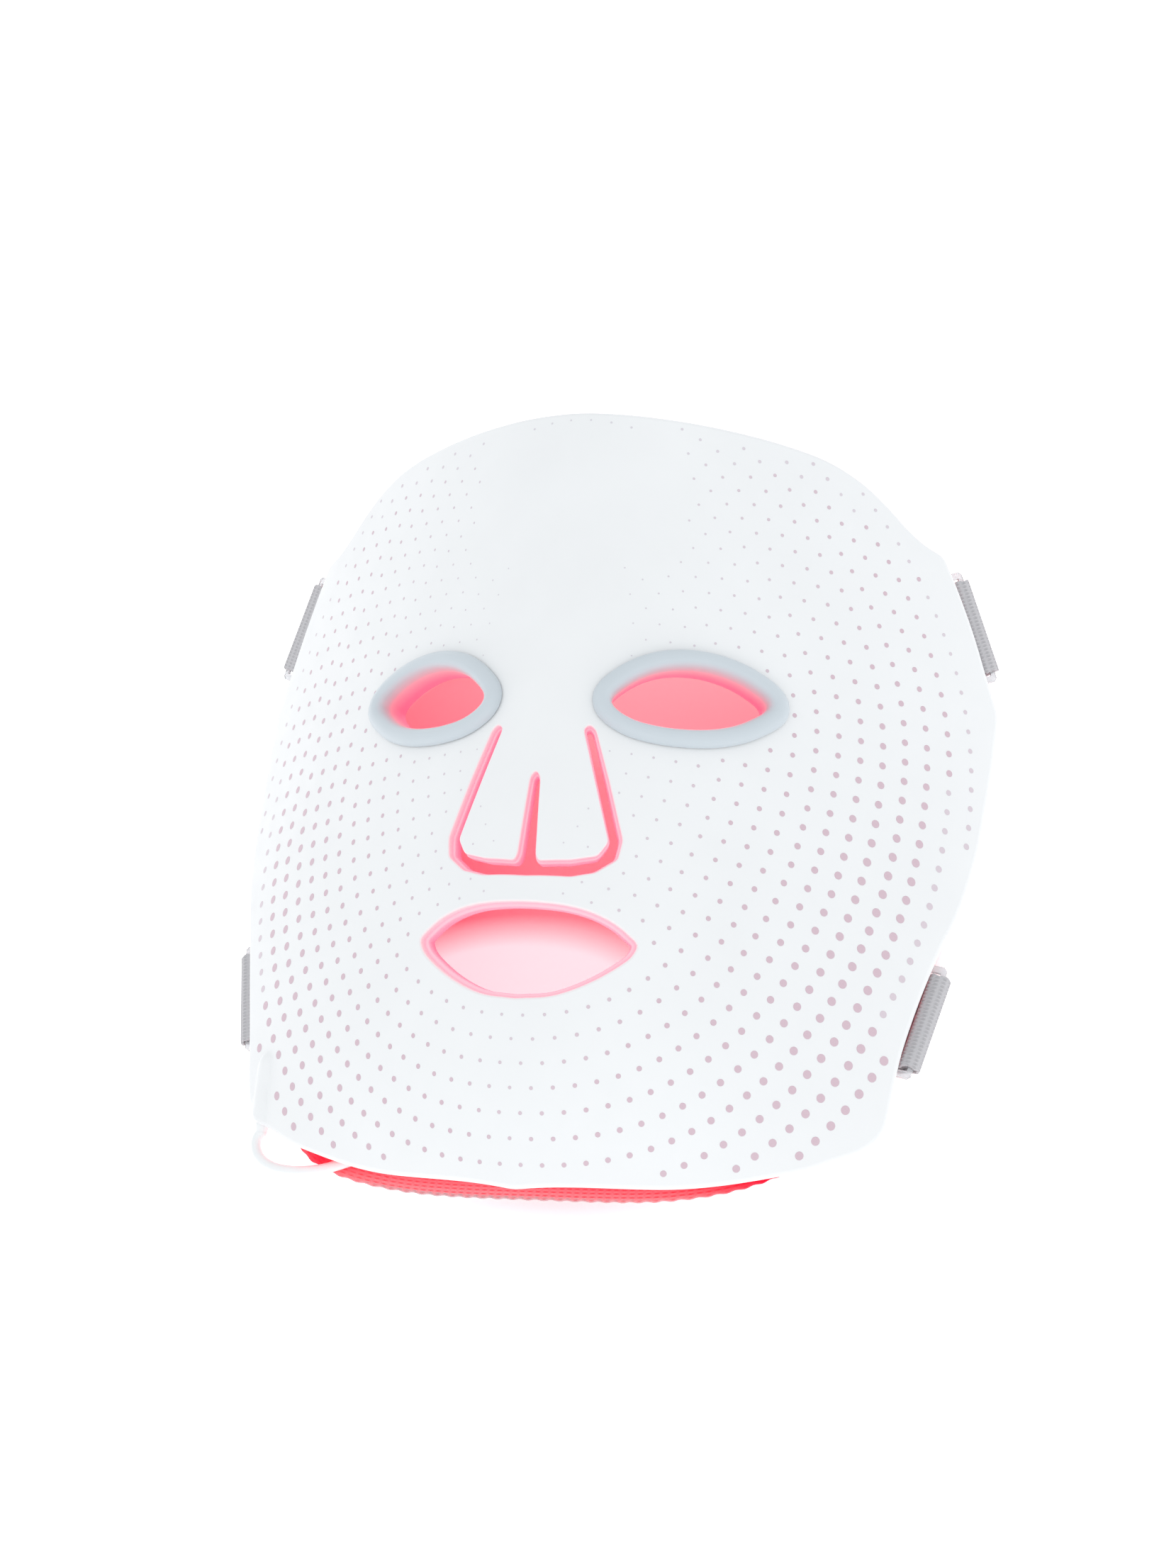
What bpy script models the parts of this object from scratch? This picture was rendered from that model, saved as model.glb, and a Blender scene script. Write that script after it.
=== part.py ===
"""LED face mask, lying face up on its rim.

A curved silicone shell, a flexible circuit with red and near-infrared LEDs, and a clear silicone
liner make the mask.  Two soft eye surrounds plug into it, two elastic straps loop through clear
slot frames at its sides, and a thin lead leaves the jaw corner and ends in a small plug.

Frame: +Z is the way the face looks, -Y is the chin, -X is the side of the lead, z = 0 is the table.
The wall is designed flat, in plan (x, y) and depth w below the outer surface, and then each of its
vertices is moved to the curved surface, w along the surface's normal.  Sizes are in millimetres.
"""
import math

import bmesh
import bpy
import numpy as np
from mathutils import Matrix, Vector

MM = 0.001
COLLECTION = "led_face_mask"

# Outer surface: height above the table = a quartic along the face, less a rounded fall to the sides
TOP_Z = 61.4
LENGTH_TERMS = (16.79, -5.92, 12.31, -5.76)      # powers 1 to 4 of y / 100
SIDE_FALL = (0.691, 0.122, -0.026)               # fall per mm sideways, powers 0 to 2 of y / 100
RIDGE_RADIUS = 26.3                              # rounds the fall over the centre line
EDGE_FALL = 8.9                                  # steepens the outer side, fifth power of x / 100

# Wall, as depths below the outer surface
WALL = 4.3
SKIN = 1.5
CIRCUIT = (-2.05, -1.8)
STRIP = (-2.55, -2.35)
LED_BOTTOM = -3.0
LINER = (-WALL, -3.3)
GAP = 0.3
RIM_WIDTH = 3.0

# Grid lines of the wall: closer over the centre line, where it bends most
GRID_X = (0, 5, 11, 18, 27, 38, 50, 62, 73, 82.5, 91, 98, 103)
GRID_Y_CELLS = 17
GRID_Y = (-100.0, 103.0)

# Outline of one half in plan, as runs that meet at corners
OUTLINE_RUNS = (
    ((0, 89.2), (8.0, 89.4), (18.0, 90.3), (33.0, 92.2), (46.0, 93.5), (57.0, 93.6), (65.0, 91.4),
     (71.0, 87.9), (76.3, 83.8), (80.6, 81.6), (84.3, 81.2)),
    ((84.3, 81.2), (88.0, 73.7), (92.2, 63.8), (95.4, 54.7), (98.9, 45.0)),
    ((98.9, 45.0), (98.6, 32.0), (97.8, 18.0), (96.5, 3.0), (93.8, -12.0), (90.6, -23.0),
     (86.8, -38.0), (84.0, -51.0), (82.6, -61.0), (81.2, -68.7), (77.5, -73.6), (72.0, -77.3),
     (60.4, -83.4), (36.0, -91.3), (0, -96.0)),
)
EYE = ((15.6, 14.7), (19.2, 20.0), (25.0, 24.6), (31.5, 27.3), (38.0, 28.2), (44.6, 27.2),
       (49.6, 23.9), (45.0, 18.0), (39.4, 14.2), (33.0, 11.9), (26.0, 10.8), (19.8, 11.4))
EYE_CENTRE = (33.0, 19.5)
NOSE_SLIT = ((0, -4.2), (1.2, -5.8), (2.2, -24.6), (2.9, -26.2), (10.6, -25.3), (16.6, -23.4),
             (18.7, -19.6), (10.2, 7.0), (11.6, 8.2), (13.0, 7.0), (17.3, -5.0), (21.7, -18.5),
             (21.0, -23.4), (16.4, -27.4), (10.9, -29.2), (0, -29.8))
MOUTH_RUNS = (
    ((0, -35.8), (12.7, -36.1), (21.0, -38.0), (27.2, -41.8)),
    ((27.2, -41.8), (25.0, -45.8), (17.4, -52.0), (8.8, -56.2), (0, -57.4)),
)
# Solid block round the nose and the mouth, where no circuit runs
BLOCK = ((0, 11.2), (10.5, 11.0), (14.4, 8.8), (19.6, -5.0), (24.4, -19.0), (25.4, -31.0),
         (31.2, -41.8), (28.7, -48.5), (19.5, -56.0), (10.0, -59.8), (0, -61.0))

# Eye surround: a rounded flange outside and a sleeve through the wall, as (offset, height)
SLEEVE = 1.2
EYE_ISLAND = SLEEVE + GAP + 1.5
SURROUND = ((0.4, -6.6), (0.0, -3.0), (0.0, 1.2), (0.7, 2.3), (1.9, 2.8), (3.3, 2.5), (4.2, 1.6),
            (4.5, GAP), (SLEEVE + 0.1, GAP), (SLEEVE, -0.2), (SLEEVE, -6.6))

# LEDs and small parts of the circuit
LED_SIZE = 2.8
LED_PITCH = 15.0
LED_ROWS_Y = (-82.0, 83.0)
CIRCUIT_CLEAR = 0.6
LED_CLEAR = 3.4
STRIP_WIDTH = 4.0
STRIP_END = 2.6
STRIP_CLEAR = 2.5
BOARD = (10.0, 8.0)                              # in plan
BOARD_THICKNESS = 0.5
BOARD_AT = (-69.0, -52.5)
BOARD_CLEAR = 9.5

# Lead entry at the jaw corner
ENTRY_START = (-75.4, -60.0)
ENTRY_END = (-77.0, -74.2)
ENTRY_DEPTH = -1.45
RIDGE_HALF = 2.9
CHANNEL_HALF = 1.85
GLAND_RADIUS = 1.45
GLAND_OUT = 1.0
NOTCH = (16.0, 28.0)
PLAN_NARROWING = 0.82                            # the side wall stretches plan widths by 1 / 0.82

# Straps
STRAP_WIDTH = 25.0
STRAP = 0.9
PATCH = 0.7
ANCHOR_Y = {"upper": 66.0, "lower": -39.5}
ANCHOR_LENGTH = 30.0
ANCHOR_FRAME = (2.4, 3.3)                        # its lower and upper face, over the strap's base
ANCHOR_BODY_IN = -8.0
SLOT_OUT = (1.2, 3.9)
BAR_OUT = 5.1
REACH = {("upper", 1): 0.0, ("upper", -1): 4.4}
UPPER_TILT = 0.87                                # the upper frames follow the rising rim this much
RIM_LEVEL = {"upper": 3.9, "lower": 3.7}         # inner rim edge over the strap's base
# Outer side of the strap round the bar: (outward, up) from the rim edge and the strap's base
LOOP = ((1.1, 2.15), (1.45, 2.6), (1.5, 3.3), (1.75, 3.95), (2.5, 4.4), (3.7, 4.5), (5.1, 4.35),
        (6.2, 3.5), (6.7, 2.25), (6.2, 1.0), (5.0, 0.2))
LOOP_SPLIT = 3.0

# Lead
LEAD_DIAMETER = 2.6
LEAD_RADIUS = LEAD_DIAMETER / 2
LEAD_GAP = 0.4
COIL_CENTRE = (50.0, -6.0)
COIL_MID_RADIUS = 15.5
COIL_SECTION = 7.8
COIL_BASE = 1.0
TIE = 0.45
TIE_WIDTH = 5.0
TIE_ROOM = 0.5
TIE_ANGLE = math.radians(-35.0)
LEAD_ROUTE = ((-77.6, -78.3, 1.5), (-76.3, -81.7, 1.4), (-73.0, -84.2, 1.4), (-68.0, -85.4, 1.4),
              (-61.0, -85.2, 1.6), (-54.0, -83.7, 2.45), (-45.0, -79.8, 2.6), (-33.0, -73.0, 2.6),
              (-20.0, -64.8, 2.6), (-8.0, -58.0, 1.9), (4.0, -51.5, 1.45), (14.0, -43.5, 1.4),
              (22.5, -34.0, 1.7), (28.5, -25.0, 2.3))
LEAD_JOIN = (31.6, -17.6, 2.7)
TAIL_ROUTE = ((61.8, 11.8, 9.9), (63.6, 11.95, 9.3), (65.6, 12.8, 8.0), (67.3, 14.4, 6.3),
              (68.5, 16.4, 4.8), (69.0, 18.8, 3.8), (69.0, 21.6, 3.4))
PLUG_AT = (69.0, 21.9, 3.4)
PLUG_GRIP = (10.4, 20.0, 6.0)
PLUG_SHELL = (8.3, 6.6, 2.5)
PLUG_WALL = 0.3


# --- scene, materials and small helpers ---------------------------------------------------------

def clear_scene():
    for item in list(bpy.data.objects):
        bpy.data.objects.remove(item, do_unlink=True)


def new_collection(name, parent):
    collection = bpy.data.collections.new(name)
    parent.children.link(collection)
    return collection


def material(name, colour, roughness, metallic=0.0, alpha=1.0):
    made = bpy.data.materials.new(name)
    made.use_nodes = True
    shader = made.node_tree.nodes["Principled BSDF"]
    shader.inputs["Base Color"].default_value = (*colour, 1.0)
    shader.inputs["Roughness"].default_value = roughness
    shader.inputs["Metallic"].default_value = metallic
    shader.inputs["Alpha"].default_value = alpha
    return made


def add(mesh, name, look, matrix=None, sharp=35.0):
    """Puts a finished mesh in the object's collection, under its node's name."""
    mesh.name = name
    made = bpy.data.objects.new(name, mesh)
    PARTS.objects.link(made)
    if matrix is not None:
        made.matrix_world = matrix
    mesh.materials.clear()
    mesh.materials.append(look)
    mesh.shade_smooth()
    mesh.set_sharp_from_angle(angle=math.radians(sharp))
    return made


def evaluated(item):
    """The mesh of a curve or of an object with modifiers; the object itself is removed."""
    bpy.context.view_layer.update()
    depsgraph = bpy.context.evaluated_depsgraph_get()
    mesh = bpy.data.meshes.new_from_object(item.evaluated_get(depsgraph))
    mesh.transform(item.matrix_world)
    bpy.data.objects.remove(item, do_unlink=True)
    shape = bmesh.new()
    shape.from_mesh(mesh)
    bmesh.ops.remove_doubles(shape, verts=shape.verts, dist=1e-7)
    bmesh.ops.recalc_face_normals(shape, faces=shape.faces)
    shape.to_mesh(mesh)
    shape.free()
    return mesh


def helper_object(mesh, name):
    made = bpy.data.objects.new(name, mesh)
    CUTTERS.objects.link(made)
    made.hide_render = True
    made.display_type = "WIRE"
    return made


def boolean(mesh, cutter, operation):
    """Cuts or joins two meshes."""
    base = helper_object(mesh, "base")
    tool = helper_object(cutter, "tool")
    modifier = base.modifiers.new("cut", "BOOLEAN")
    modifier.solver = "EXACT"
    modifier.operation = operation
    modifier.object = tool
    result = evaluated(base)
    bpy.data.objects.remove(tool, do_unlink=True)
    return result


def mesh_of(shape, closed=True):
    mesh = bpy.data.meshes.new("shape")
    if closed:
        bmesh.ops.recalc_face_normals(shape, faces=shape.faces)
    shape.to_mesh(mesh)
    shape.free()
    return mesh


def thickened(sheet, name, thickness, side=1.0):
    """An open sheet made solid, thick towards its normal or away from it."""
    item = helper_object(mesh_of(sheet, closed=False), name)
    modifier = item.modifiers.new("thickness", "SOLIDIFY")
    modifier.thickness = thickness * MM
    modifier.offset = side
    return evaluated(item)


def box_mesh(size, matrix=Matrix.Identity(4), bevel=0.0):
    """A box of the given size in millimetres, with its centre at the matrix's origin."""
    shape = bmesh.new()
    bmesh.ops.create_cube(shape, size=1.0)
    bmesh.ops.scale(shape, vec=Vector(size) * MM, verts=shape.verts)
    if bevel:
        bmesh.ops.bevel(shape, geom=list(shape.edges), offset=bevel * MM, segments=2,
                        affect="EDGES", profile=0.5)
    bmesh.ops.transform(shape, matrix=matrix, verts=shape.verts)
    return mesh_of(shape)


# --- outlines -----------------------------------------------------------------------------------

def smooth(points, steps):
    """A Catmull-Rom curve through the points, with `steps` points for each span."""
    nodes = np.array(points, dtype=float)
    padded = np.vstack([2 * nodes[0] - nodes[1], nodes, 2 * nodes[-1] - nodes[-2]])
    curve = []
    for i in range(len(nodes) - 1):
        before, start, end, after = padded[i:i + 4]
        for t in np.arange(steps) / steps:
            curve.append(0.5 * (2 * start + (end - before) * t
                                + (2 * before - 5 * start + 4 * end - after) * t ** 2
                                + (3 * start - before - 3 * end + after) * t ** 3))
    curve.append(nodes[-1])
    return np.array(curve)


def mirrored_loop(half):
    """Closes a half outline, which starts and ends on the centre line, with its mirror image."""
    half = np.array(half, dtype=float)
    other = half[-2:0:-1] * (-1, 1)
    return np.vstack([half, other])


def from_runs(runs, steps):
    """Smooth runs that meet at corners, as one half outline."""
    parts = [smooth(run, steps)[:-1] for run in runs]
    return np.vstack(parts + [np.array([runs[-1][-1]], dtype=float)])


def closed_smooth(points, steps):
    count = len(points)
    wrapped = [points[-1], *points, points[0], points[1]]
    curve = smooth(wrapped, steps)
    return curve[steps:steps + count * steps]


def offset_loop(loop, distance):
    """Moves each point of a closed outline outward by a distance."""
    ahead = np.roll(loop, -1, axis=0)
    behind = np.roll(loop, 1, axis=0)
    along = ahead - behind
    along /= np.linalg.norm(along, axis=1)[:, None]
    area = np.sum(loop[:, 0] * ahead[:, 1] - ahead[:, 0] * loop[:, 1])
    outward = np.stack([along[:, 1], -along[:, 0]], axis=1) * math.copysign(1.0, area)
    return loop + outward * distance


def inset_loop(loop, distance):
    """An outline this far inside another, without the points that fold over at its corners."""
    moved = offset_loop(loop, -distance)
    return np.array([point for point in moved if distance_to(point, loop) > distance - 0.05])


def mirrored(loop):
    return loop * (-1, 1)


def inside(point, loop):
    ahead = np.roll(loop, -1, axis=0)
    crossing = (loop[:, 1] > point[1]) != (ahead[:, 1] > point[1])
    rise = np.where(crossing, ahead[:, 1] - loop[:, 1], 1.0)
    at = loop[:, 0] + (point[1] - loop[:, 1]) / rise * (ahead[:, 0] - loop[:, 0])
    return bool(np.sum(crossing & (at > point[0])) % 2)


def distance_to(point, loop):
    """Distance from a point to the nearest side of a closed outline."""
    side = np.roll(loop, -1, axis=0) - loop
    along = np.sum((point - loop) * side, axis=1) / np.maximum(np.sum(side * side, axis=1), 1e-9)
    nearest = loop + side * np.clip(along, 0, 1)[:, None]
    return float(np.min(np.linalg.norm(nearest - point, axis=1)))


# --- the curved surface -------------------------------------------------------------------------

def height(x, y):
    """Height of the outer surface over the table, in millimetres."""
    along = y / 100
    rise = sum(term * along ** (power + 1) for power, term in enumerate(LENGTH_TERMS))
    fall = SIDE_FALL[0] + SIDE_FALL[1] * along + SIDE_FALL[2] * along ** 2
    side = math.hypot(x, RIDGE_RADIUS) - RIDGE_RADIUS
    return TOP_Z + rise - fall * side - EDGE_FALL * abs(x / 100) ** 5


def normal(x, y):
    step = 0.01
    slope_x = (height(x + step, y) - height(x - step, y)) / (2 * step)
    slope_y = (height(x, y + step) - height(x, y - step)) / (2 * step)
    return Vector((-slope_x, -slope_y, 1.0)).normalized()


def on_wall(x, y, w=0.0):
    """The place w above the outer surface at plan position (x, y), in millimetres."""
    return Vector((x, y, height(x, y))) + normal(x, y) * w


def to_wall(mesh):
    """Moves a flat design, with its depth along Z, onto the curved surface."""
    shape = bmesh.new()
    shape.from_mesh(mesh)
    bmesh.ops.triangulate(shape, faces=shape.faces)
    for vertex in shape.verts:
        x, y, w = vertex.co / MM
        vertex.co = on_wall(x, y, w) * MM
    bmesh.ops.recalc_face_normals(shape, faces=shape.faces)
    shape.to_mesh(mesh)
    shape.free()
    return mesh


# --- flat pieces of the wall --------------------------------------------------------------------

def flat_region(loops, low, high):
    """A flat plate: the first outline with the others cut out of it."""
    curve = bpy.data.curves.new("outline", "CURVE")
    curve.dimensions = "2D"
    curve.fill_mode = "BOTH"
    curve.extrude = (high - low) / 2 * MM
    for loop in loops:
        spline = curve.splines.new("POLY")
        spline.points.add(len(loop) - 1)
        for point, (x, y) in zip(spline.points, loop):
            point.co = (x * MM, y * MM, 0.0, 1.0)
        spline.use_cyclic_u = True
    item = bpy.data.objects.new("outline", curve)
    CUTTERS.objects.link(item)
    item.location.z = (low + high) / 2 * MM
    return evaluated(item)


def slab(low, high):
    """A plate over the whole grid, with the grid's lines in both faces."""
    cells = 2 * (len(GRID_X) - 1)
    shape = bmesh.new()
    bmesh.ops.create_grid(shape, x_segments=cells, y_segments=GRID_Y_CELLS, size=1.0)
    for vertex in shape.verts:
        column = round((vertex.co.x + 1) / 2 * cells) - (len(GRID_X) - 1)
        x = math.copysign(GRID_X[abs(column)], column)
        y = GRID_Y[0] + (vertex.co.y + 1) / 2 * (GRID_Y[1] - GRID_Y[0])
        vertex.co = Vector((x, y, low)) * MM
    return thickened(shape, "slab", high - low)


def plate(loops, low, high):
    """A flat plate of this outline with the grid's lines in both faces."""
    return boolean(slab(low, high), flat_region(loops, low - 1.0, high + 1.0), "INTERSECT")


def entry_rod(half_width, start_shift, end_shift, rounded):
    """A rod along the lead's entry, in the flat design, narrowed in plan."""
    start = Vector((*ENTRY_START, ENTRY_DEPTH))
    end = Vector((*ENTRY_END, ENTRY_DEPTH))
    along = (end - start).normalized()
    start = start + along * start_shift
    end = end + along * end_shift
    length = (end - start).length
    shape = bmesh.new()
    turn = along.to_track_quat("Z", "X").to_matrix().to_4x4()
    bmesh.ops.create_cone(shape, cap_ends=True, segments=20, radius1=half_width * MM,
                          radius2=half_width * MM, depth=length * MM)
    if rounded:
        bottom = [v for v in shape.verts if v.co.z < 0]
        near = bmesh.ops.extrude_face_region(
            shape, geom=[f for f in shape.faces if all(v in bottom for v in f.verts)])
        cap = [g for g in near["geom"] if isinstance(g, bmesh.types.BMVert)]
        bmesh.ops.translate(shape, verts=cap, vec=(0, 0, -half_width * MM))
        bmesh.ops.scale(shape, verts=cap, vec=(0.45, 0.45, 1.0))
        loose = [f for f in shape.faces if all(v in bottom for v in f.verts)]
        bmesh.ops.delete(shape, geom=loose, context="FACES_ONLY")
    bmesh.ops.transform(shape, matrix=turn, verts=shape.verts)
    bmesh.ops.scale(shape, vec=(PLAN_NARROWING, 1.0, 1.0), verts=shape.verts)
    bmesh.ops.translate(shape, vec=(start + end) / 2 * MM, verts=shape.verts)
    return mesh_of(shape)


def make_outlines():
    outline = mirrored_loop(from_runs(OUTLINE_RUNS, 2))
    eye = closed_smooth(EYE, 2)
    nose = mirrored_loop(NOSE_SLIT)
    mouth = mirrored_loop(from_runs(MOUTH_RUNS, 2))
    block = mirrored_loop(smooth(BLOCK, 2))
    return outline, eye, nose, mouth, block


def make_outer_shell(outline, eye, nose, mouth, block):
    eye_hole = offset_loop(eye, SLEEVE + GAP)
    island = offset_loop(eye, EYE_ISLAND)
    body = slab(-WALL, 0.0)
    body = boolean(body, entry_rod(RIDGE_HALF, 1.5, 4.0, True), "UNION")
    plan = flat_region([outline, eye_hole, mirrored(eye_hole), nose, mouth], -WALL - 2.0, 4.0)
    body = boolean(body, plan, "INTERSECT")
    pocket = plate([inset_loop(outline, RIM_WIDTH), island, mirrored(island), block],
                   -WALL - 1.0, -SKIN)
    body = boolean(body, pocket, "DIFFERENCE")
    body = boolean(body, entry_rod(CHANNEL_HALF, 1.0, 6.0, False), "DIFFERENCE")
    add(to_wall(body), "outer_shell", SILICONE)


def make_inner_liner(outline, eye, block):
    island = offset_loop(eye, EYE_ISLAND + GAP)
    loops = [inset_loop(outline, RIM_WIDTH + GAP), island, mirrored(island),
             offset_loop(block, GAP)]
    add(to_wall(plate(loops, *LINER)), "inner_liner", CLEAR_SILICONE)


def circuit_outlines(outline, eye, block):
    island = offset_loop(eye, EYE_ISLAND + CIRCUIT_CLEAR)
    return [inset_loop(outline, RIM_WIDTH + 1.5), island, mirrored(island),
            offset_loop(block, CIRCUIT_CLEAR)]


def make_flex_circuit(loops):
    sheet = plate(loops, *CIRCUIT)
    notch_at = Vector((ENTRY_START[0] - NOTCH[0] / 2 + 3.2, ENTRY_START[1] - NOTCH[1] / 2 + 2.0,
                       CIRCUIT[0])) * MM
    notch = box_mesh((*NOTCH, 2.0), Matrix.Translation(notch_at))
    add(to_wall(boolean(sheet, notch, "DIFFERENCE")), "flex_circuit", POLYIMIDE)


# --- circuit parts ------------------------------------------------------------------------------

def row_positions(y):
    """Plan x of the LEDs in one row, evenly spaced along the curved surface."""
    positions = []
    travelled = 0.0
    x = 0.0
    step = 0.5
    while x < GRID_X[-1]:
        if travelled >= len(positions) * LED_PITCH:
            positions.append(x)
        slope = (height(x + step, y) - height(x, y)) / step
        travelled += step * math.hypot(1.0, slope)
        x += step
    return positions


def clear_of(place, loops, distance):
    """Whether a plan place is on the circuit and this far from its edges and from the board."""
    kept = inside(place, loops[0]) and not any(inside(place, hole) for hole in loops[1:])
    room = min(distance_to(place, loop) for loop in loops) > distance
    return kept and room and math.dist(place, BOARD_AT) > BOARD_CLEAR


def led_runs(loops):
    """Plan places of the LEDs, as runs that one straight strip can join."""
    runs = []
    for row in range(round((LED_ROWS_Y[1] - LED_ROWS_Y[0]) / LED_PITCH) + 1):
        y = LED_ROWS_Y[0] + row * LED_PITCH
        half = row_positions(y)
        columns = [-x for x in half[:0:-1]] + half
        run = []
        for x in columns:
            if not clear_of((x, y), loops, LED_CLEAR):
                continue
            between = [run[-1][0] + (x - run[-1][0]) * t for t in (0.25, 0.5, 0.75)] if run else []
            if all(clear_of((at, y), loops, STRIP_CLEAR) for at in between):
                run.append((x, y))
            else:
                runs.append(run)
                run = [(x, y)]
        runs.append(run)
    return [run for run in runs if run]


def make_strip(run, name):
    """A thin carrier with its LEDs under it, as one body."""
    y = run[0][1]
    start, end = run[0][0] - STRIP_END, run[-1][0] + STRIP_END
    lines = sorted({math.copysign(x, side) for x in GRID_X for side in (-1, 1)})
    stations = [start] + [x for x in lines if start + 1 < x < end - 1] + [end]
    low, high = STRIP
    carrier = bmesh.new()
    bmesh.ops.create_grid(carrier, x_segments=len(stations) - 1, y_segments=1, size=1.0)
    for vertex in carrier.verts:
        x = stations[round((vertex.co.x + 1) / 2 * (len(stations) - 1))]
        vertex.co = Vector((x, y + vertex.co.y * STRIP_WIDTH / 2, low)) * MM
    strip = thickened(carrier, name, high - low)
    leds = bmesh.new()
    for x, _ in run:
        plan_width = LED_SIZE * normal(x, y).z
        made = bmesh.ops.create_cube(leds, size=1.0)["verts"]
        bmesh.ops.scale(leds, vec=Vector((plan_width, LED_SIZE, low - LED_BOTTOM + 0.05)) * MM,
                        verts=made)
        at = Vector((x, y, (low + LED_BOTTOM + 0.05) / 2)) * MM
        bmesh.ops.translate(leds, vec=at, verts=made)
    add(to_wall(boolean(strip, mesh_of(leds), "UNION")), name, LED_LENS)


def make_circuit_parts(loops):
    for number, run in enumerate(led_runs(loops), start=1):
        make_strip(run, f"led_strip_{number:02d}")
    middle = Vector((*BOARD_AT, (STRIP[1] + LED_BOTTOM) / 2)) * MM
    board = box_mesh((*BOARD, BOARD_THICKNESS), Matrix.Translation(middle))
    add(to_wall(board), "junction_board", BOARD_GREEN)


def make_entry():
    """The gland in the wall. Returns its outer end and the direction it points in."""
    start = on_wall(*ENTRY_START, ENTRY_DEPTH)
    end = on_wall(*ENTRY_END, ENTRY_DEPTH)
    along = (end - start).normalized()
    outer = end + along * GLAND_OUT
    inner = start + along * 3.5
    gland = bmesh.new()
    bmesh.ops.create_cone(gland, cap_ends=True, segments=20, radius1=GLAND_RADIUS * MM,
                          radius2=GLAND_RADIUS * MM, depth=(outer - inner).length * MM)
    turn = along.to_track_quat("Z", "Y").to_matrix().to_4x4()
    turn.translation = (outer + inner) / 2 * MM
    add(mesh_of(gland), "lead_gland", LEAD_WHITE, turn)
    return outer, along


# --- eye surrounds ------------------------------------------------------------------------------

def make_eye_surround(eye, side, name):
    """A profile carried round the eye outline: flange outside, sleeve through the wall."""
    rings = []
    for offset, rise in SURROUND:
        ring = offset_loop(eye, offset) * (side, 1)
        rings.append([on_wall(x, y, rise) * MM for x, y in ring])
    centre = on_wall(EYE_CENTRE[0] * side, EYE_CENTRE[1], 0.0) * MM
    shape = bmesh.new()
    verts = [[shape.verts.new(point - centre) for point in ring] for ring in rings]
    count = len(eye)
    for i in range(len(rings)):
        here, there = verts[i], verts[(i + 1) % len(rings)]
        for j in range(count):
            k = (j + 1) % count
            shape.faces.new((here[j], here[k], there[k], there[j]))
    add(mesh_of(shape), name, SURROUND_GREY, Matrix.Translation(centre))


# --- straps -------------------------------------------------------------------------------------

class Anchor:
    """Where a strap loops through its slot frame, on the +X or the -X side."""

    def __init__(self, level, side, outline):
        y = ANCHOR_Y[level]
        half = STRAP_WIDTH / 2
        front = self.rim_point(outline, y - half)
        back = self.rim_point(outline, y + half)
        middle = self.rim_point(outline, y)
        along = (front - back).normalized()
        if level == "lower":
            along.z = 0.0
            along.normalize()
            up = Vector((0, 0, 1))
            middle.z = RIM_LEVEL[level]
        else:
            along.z *= UPPER_TILT
            along.normalize()
            up = (normal(middle.x, middle.y) + Vector((0, 0, 1))).normalized()
            up = (up - along * up.dot(along)).normalized()
        out = up.cross(along)
        out = out if out.x > 0 else -out
        self.flip = Vector((side, 1, 1))
        self.reach = REACH.get((level, side), 0.0)
        self.along = along * self.flip
        self.out = out * self.flip
        self.up = up * self.flip
        self.base = (middle - up * RIM_LEVEL[level]) * self.flip
        self.side = side

    @staticmethod
    def rim_point(outline, y):
        """The rim's inner edge at this y, on the +X side."""
        half = [p for p in outline if p[0] > 50]
        near = sorted(half, key=lambda p: abs(p[1] - y))[:2]
        (x0, y0), (x1, y1) = near
        x = x0 + (x1 - x0) * (y - y0) / (y1 - y0)
        return on_wall(x, y, -WALL)

    def at(self, outward, up):
        if outward > LOOP_SPLIT:
            outward += self.reach
        return self.base + self.out * outward + self.up * up

    def matrix(self):
        turn = Matrix((self.along, self.out, self.up)).transposed().to_4x4()
        if self.side < 0:
            turn = Matrix((-self.along, self.out, self.up)).transposed().to_4x4()
        turn.translation = self.base * MM
        return turn


def make_anchor(anchor, name):
    """A flat clear frame with one long slot, and an outer bar that the strap wraps."""
    half = ANCHOR_LENGTH / 2
    slot_half = STRAP_WIDTH / 2 + 0.8
    bar_out = BAR_OUT + anchor.reach
    slot_in, slot_out = SLOT_OUT[0], SLOT_OUT[1] + anchor.reach
    frame = [(-half, ANCHOR_BODY_IN), (half, ANCHOR_BODY_IN), (half, bar_out - 0.8),
             (half - 0.8, bar_out), (-half + 0.8, bar_out), (-half, bar_out - 0.8)]
    slot = [(-slot_half, slot_in), (slot_half, slot_in), (slot_half, slot_out),
            (-slot_half, slot_out)]
    mesh = flat_region([frame, slot], *ANCHOR_FRAME)
    add(mesh, name, CLEAR_PLASTIC, anchor.matrix())


def ribbon(stations, name, look, width, thickness, segments, side_up):
    """A band through stations of (point, width direction), thick to one side of its path."""
    points = np.array([tuple(point) for point, _ in stations])
    widths = np.array([tuple(direction) for _, direction in stations])
    steps = max(2, round(segments / (len(stations) - 1)))
    path = smooth(points, steps)
    spread = smooth(widths, steps)
    spread /= np.linalg.norm(spread, axis=1)[:, None]
    across = 2
    shape = bmesh.new()
    bmesh.ops.create_grid(shape, x_segments=len(path) - 1, y_segments=across, size=1.0)
    for vertex in shape.verts:
        i = round((vertex.co.x + 1) / 2 * (len(path) - 1))
        shift = vertex.co.y * width / 2
        vertex.co = Vector(path[i] + spread[i] * shift) * MM
    solid = thickened(shape, name, thickness, side_up)
    fixed = bmesh.new()
    fixed.from_mesh(solid)
    bmesh.ops.triangulate(fixed, faces=fixed.faces)
    bmesh.ops.recalc_face_normals(fixed, faces=fixed.faces)
    fixed.to_mesh(solid)
    fixed.free()
    return add(solid, name, look)


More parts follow.
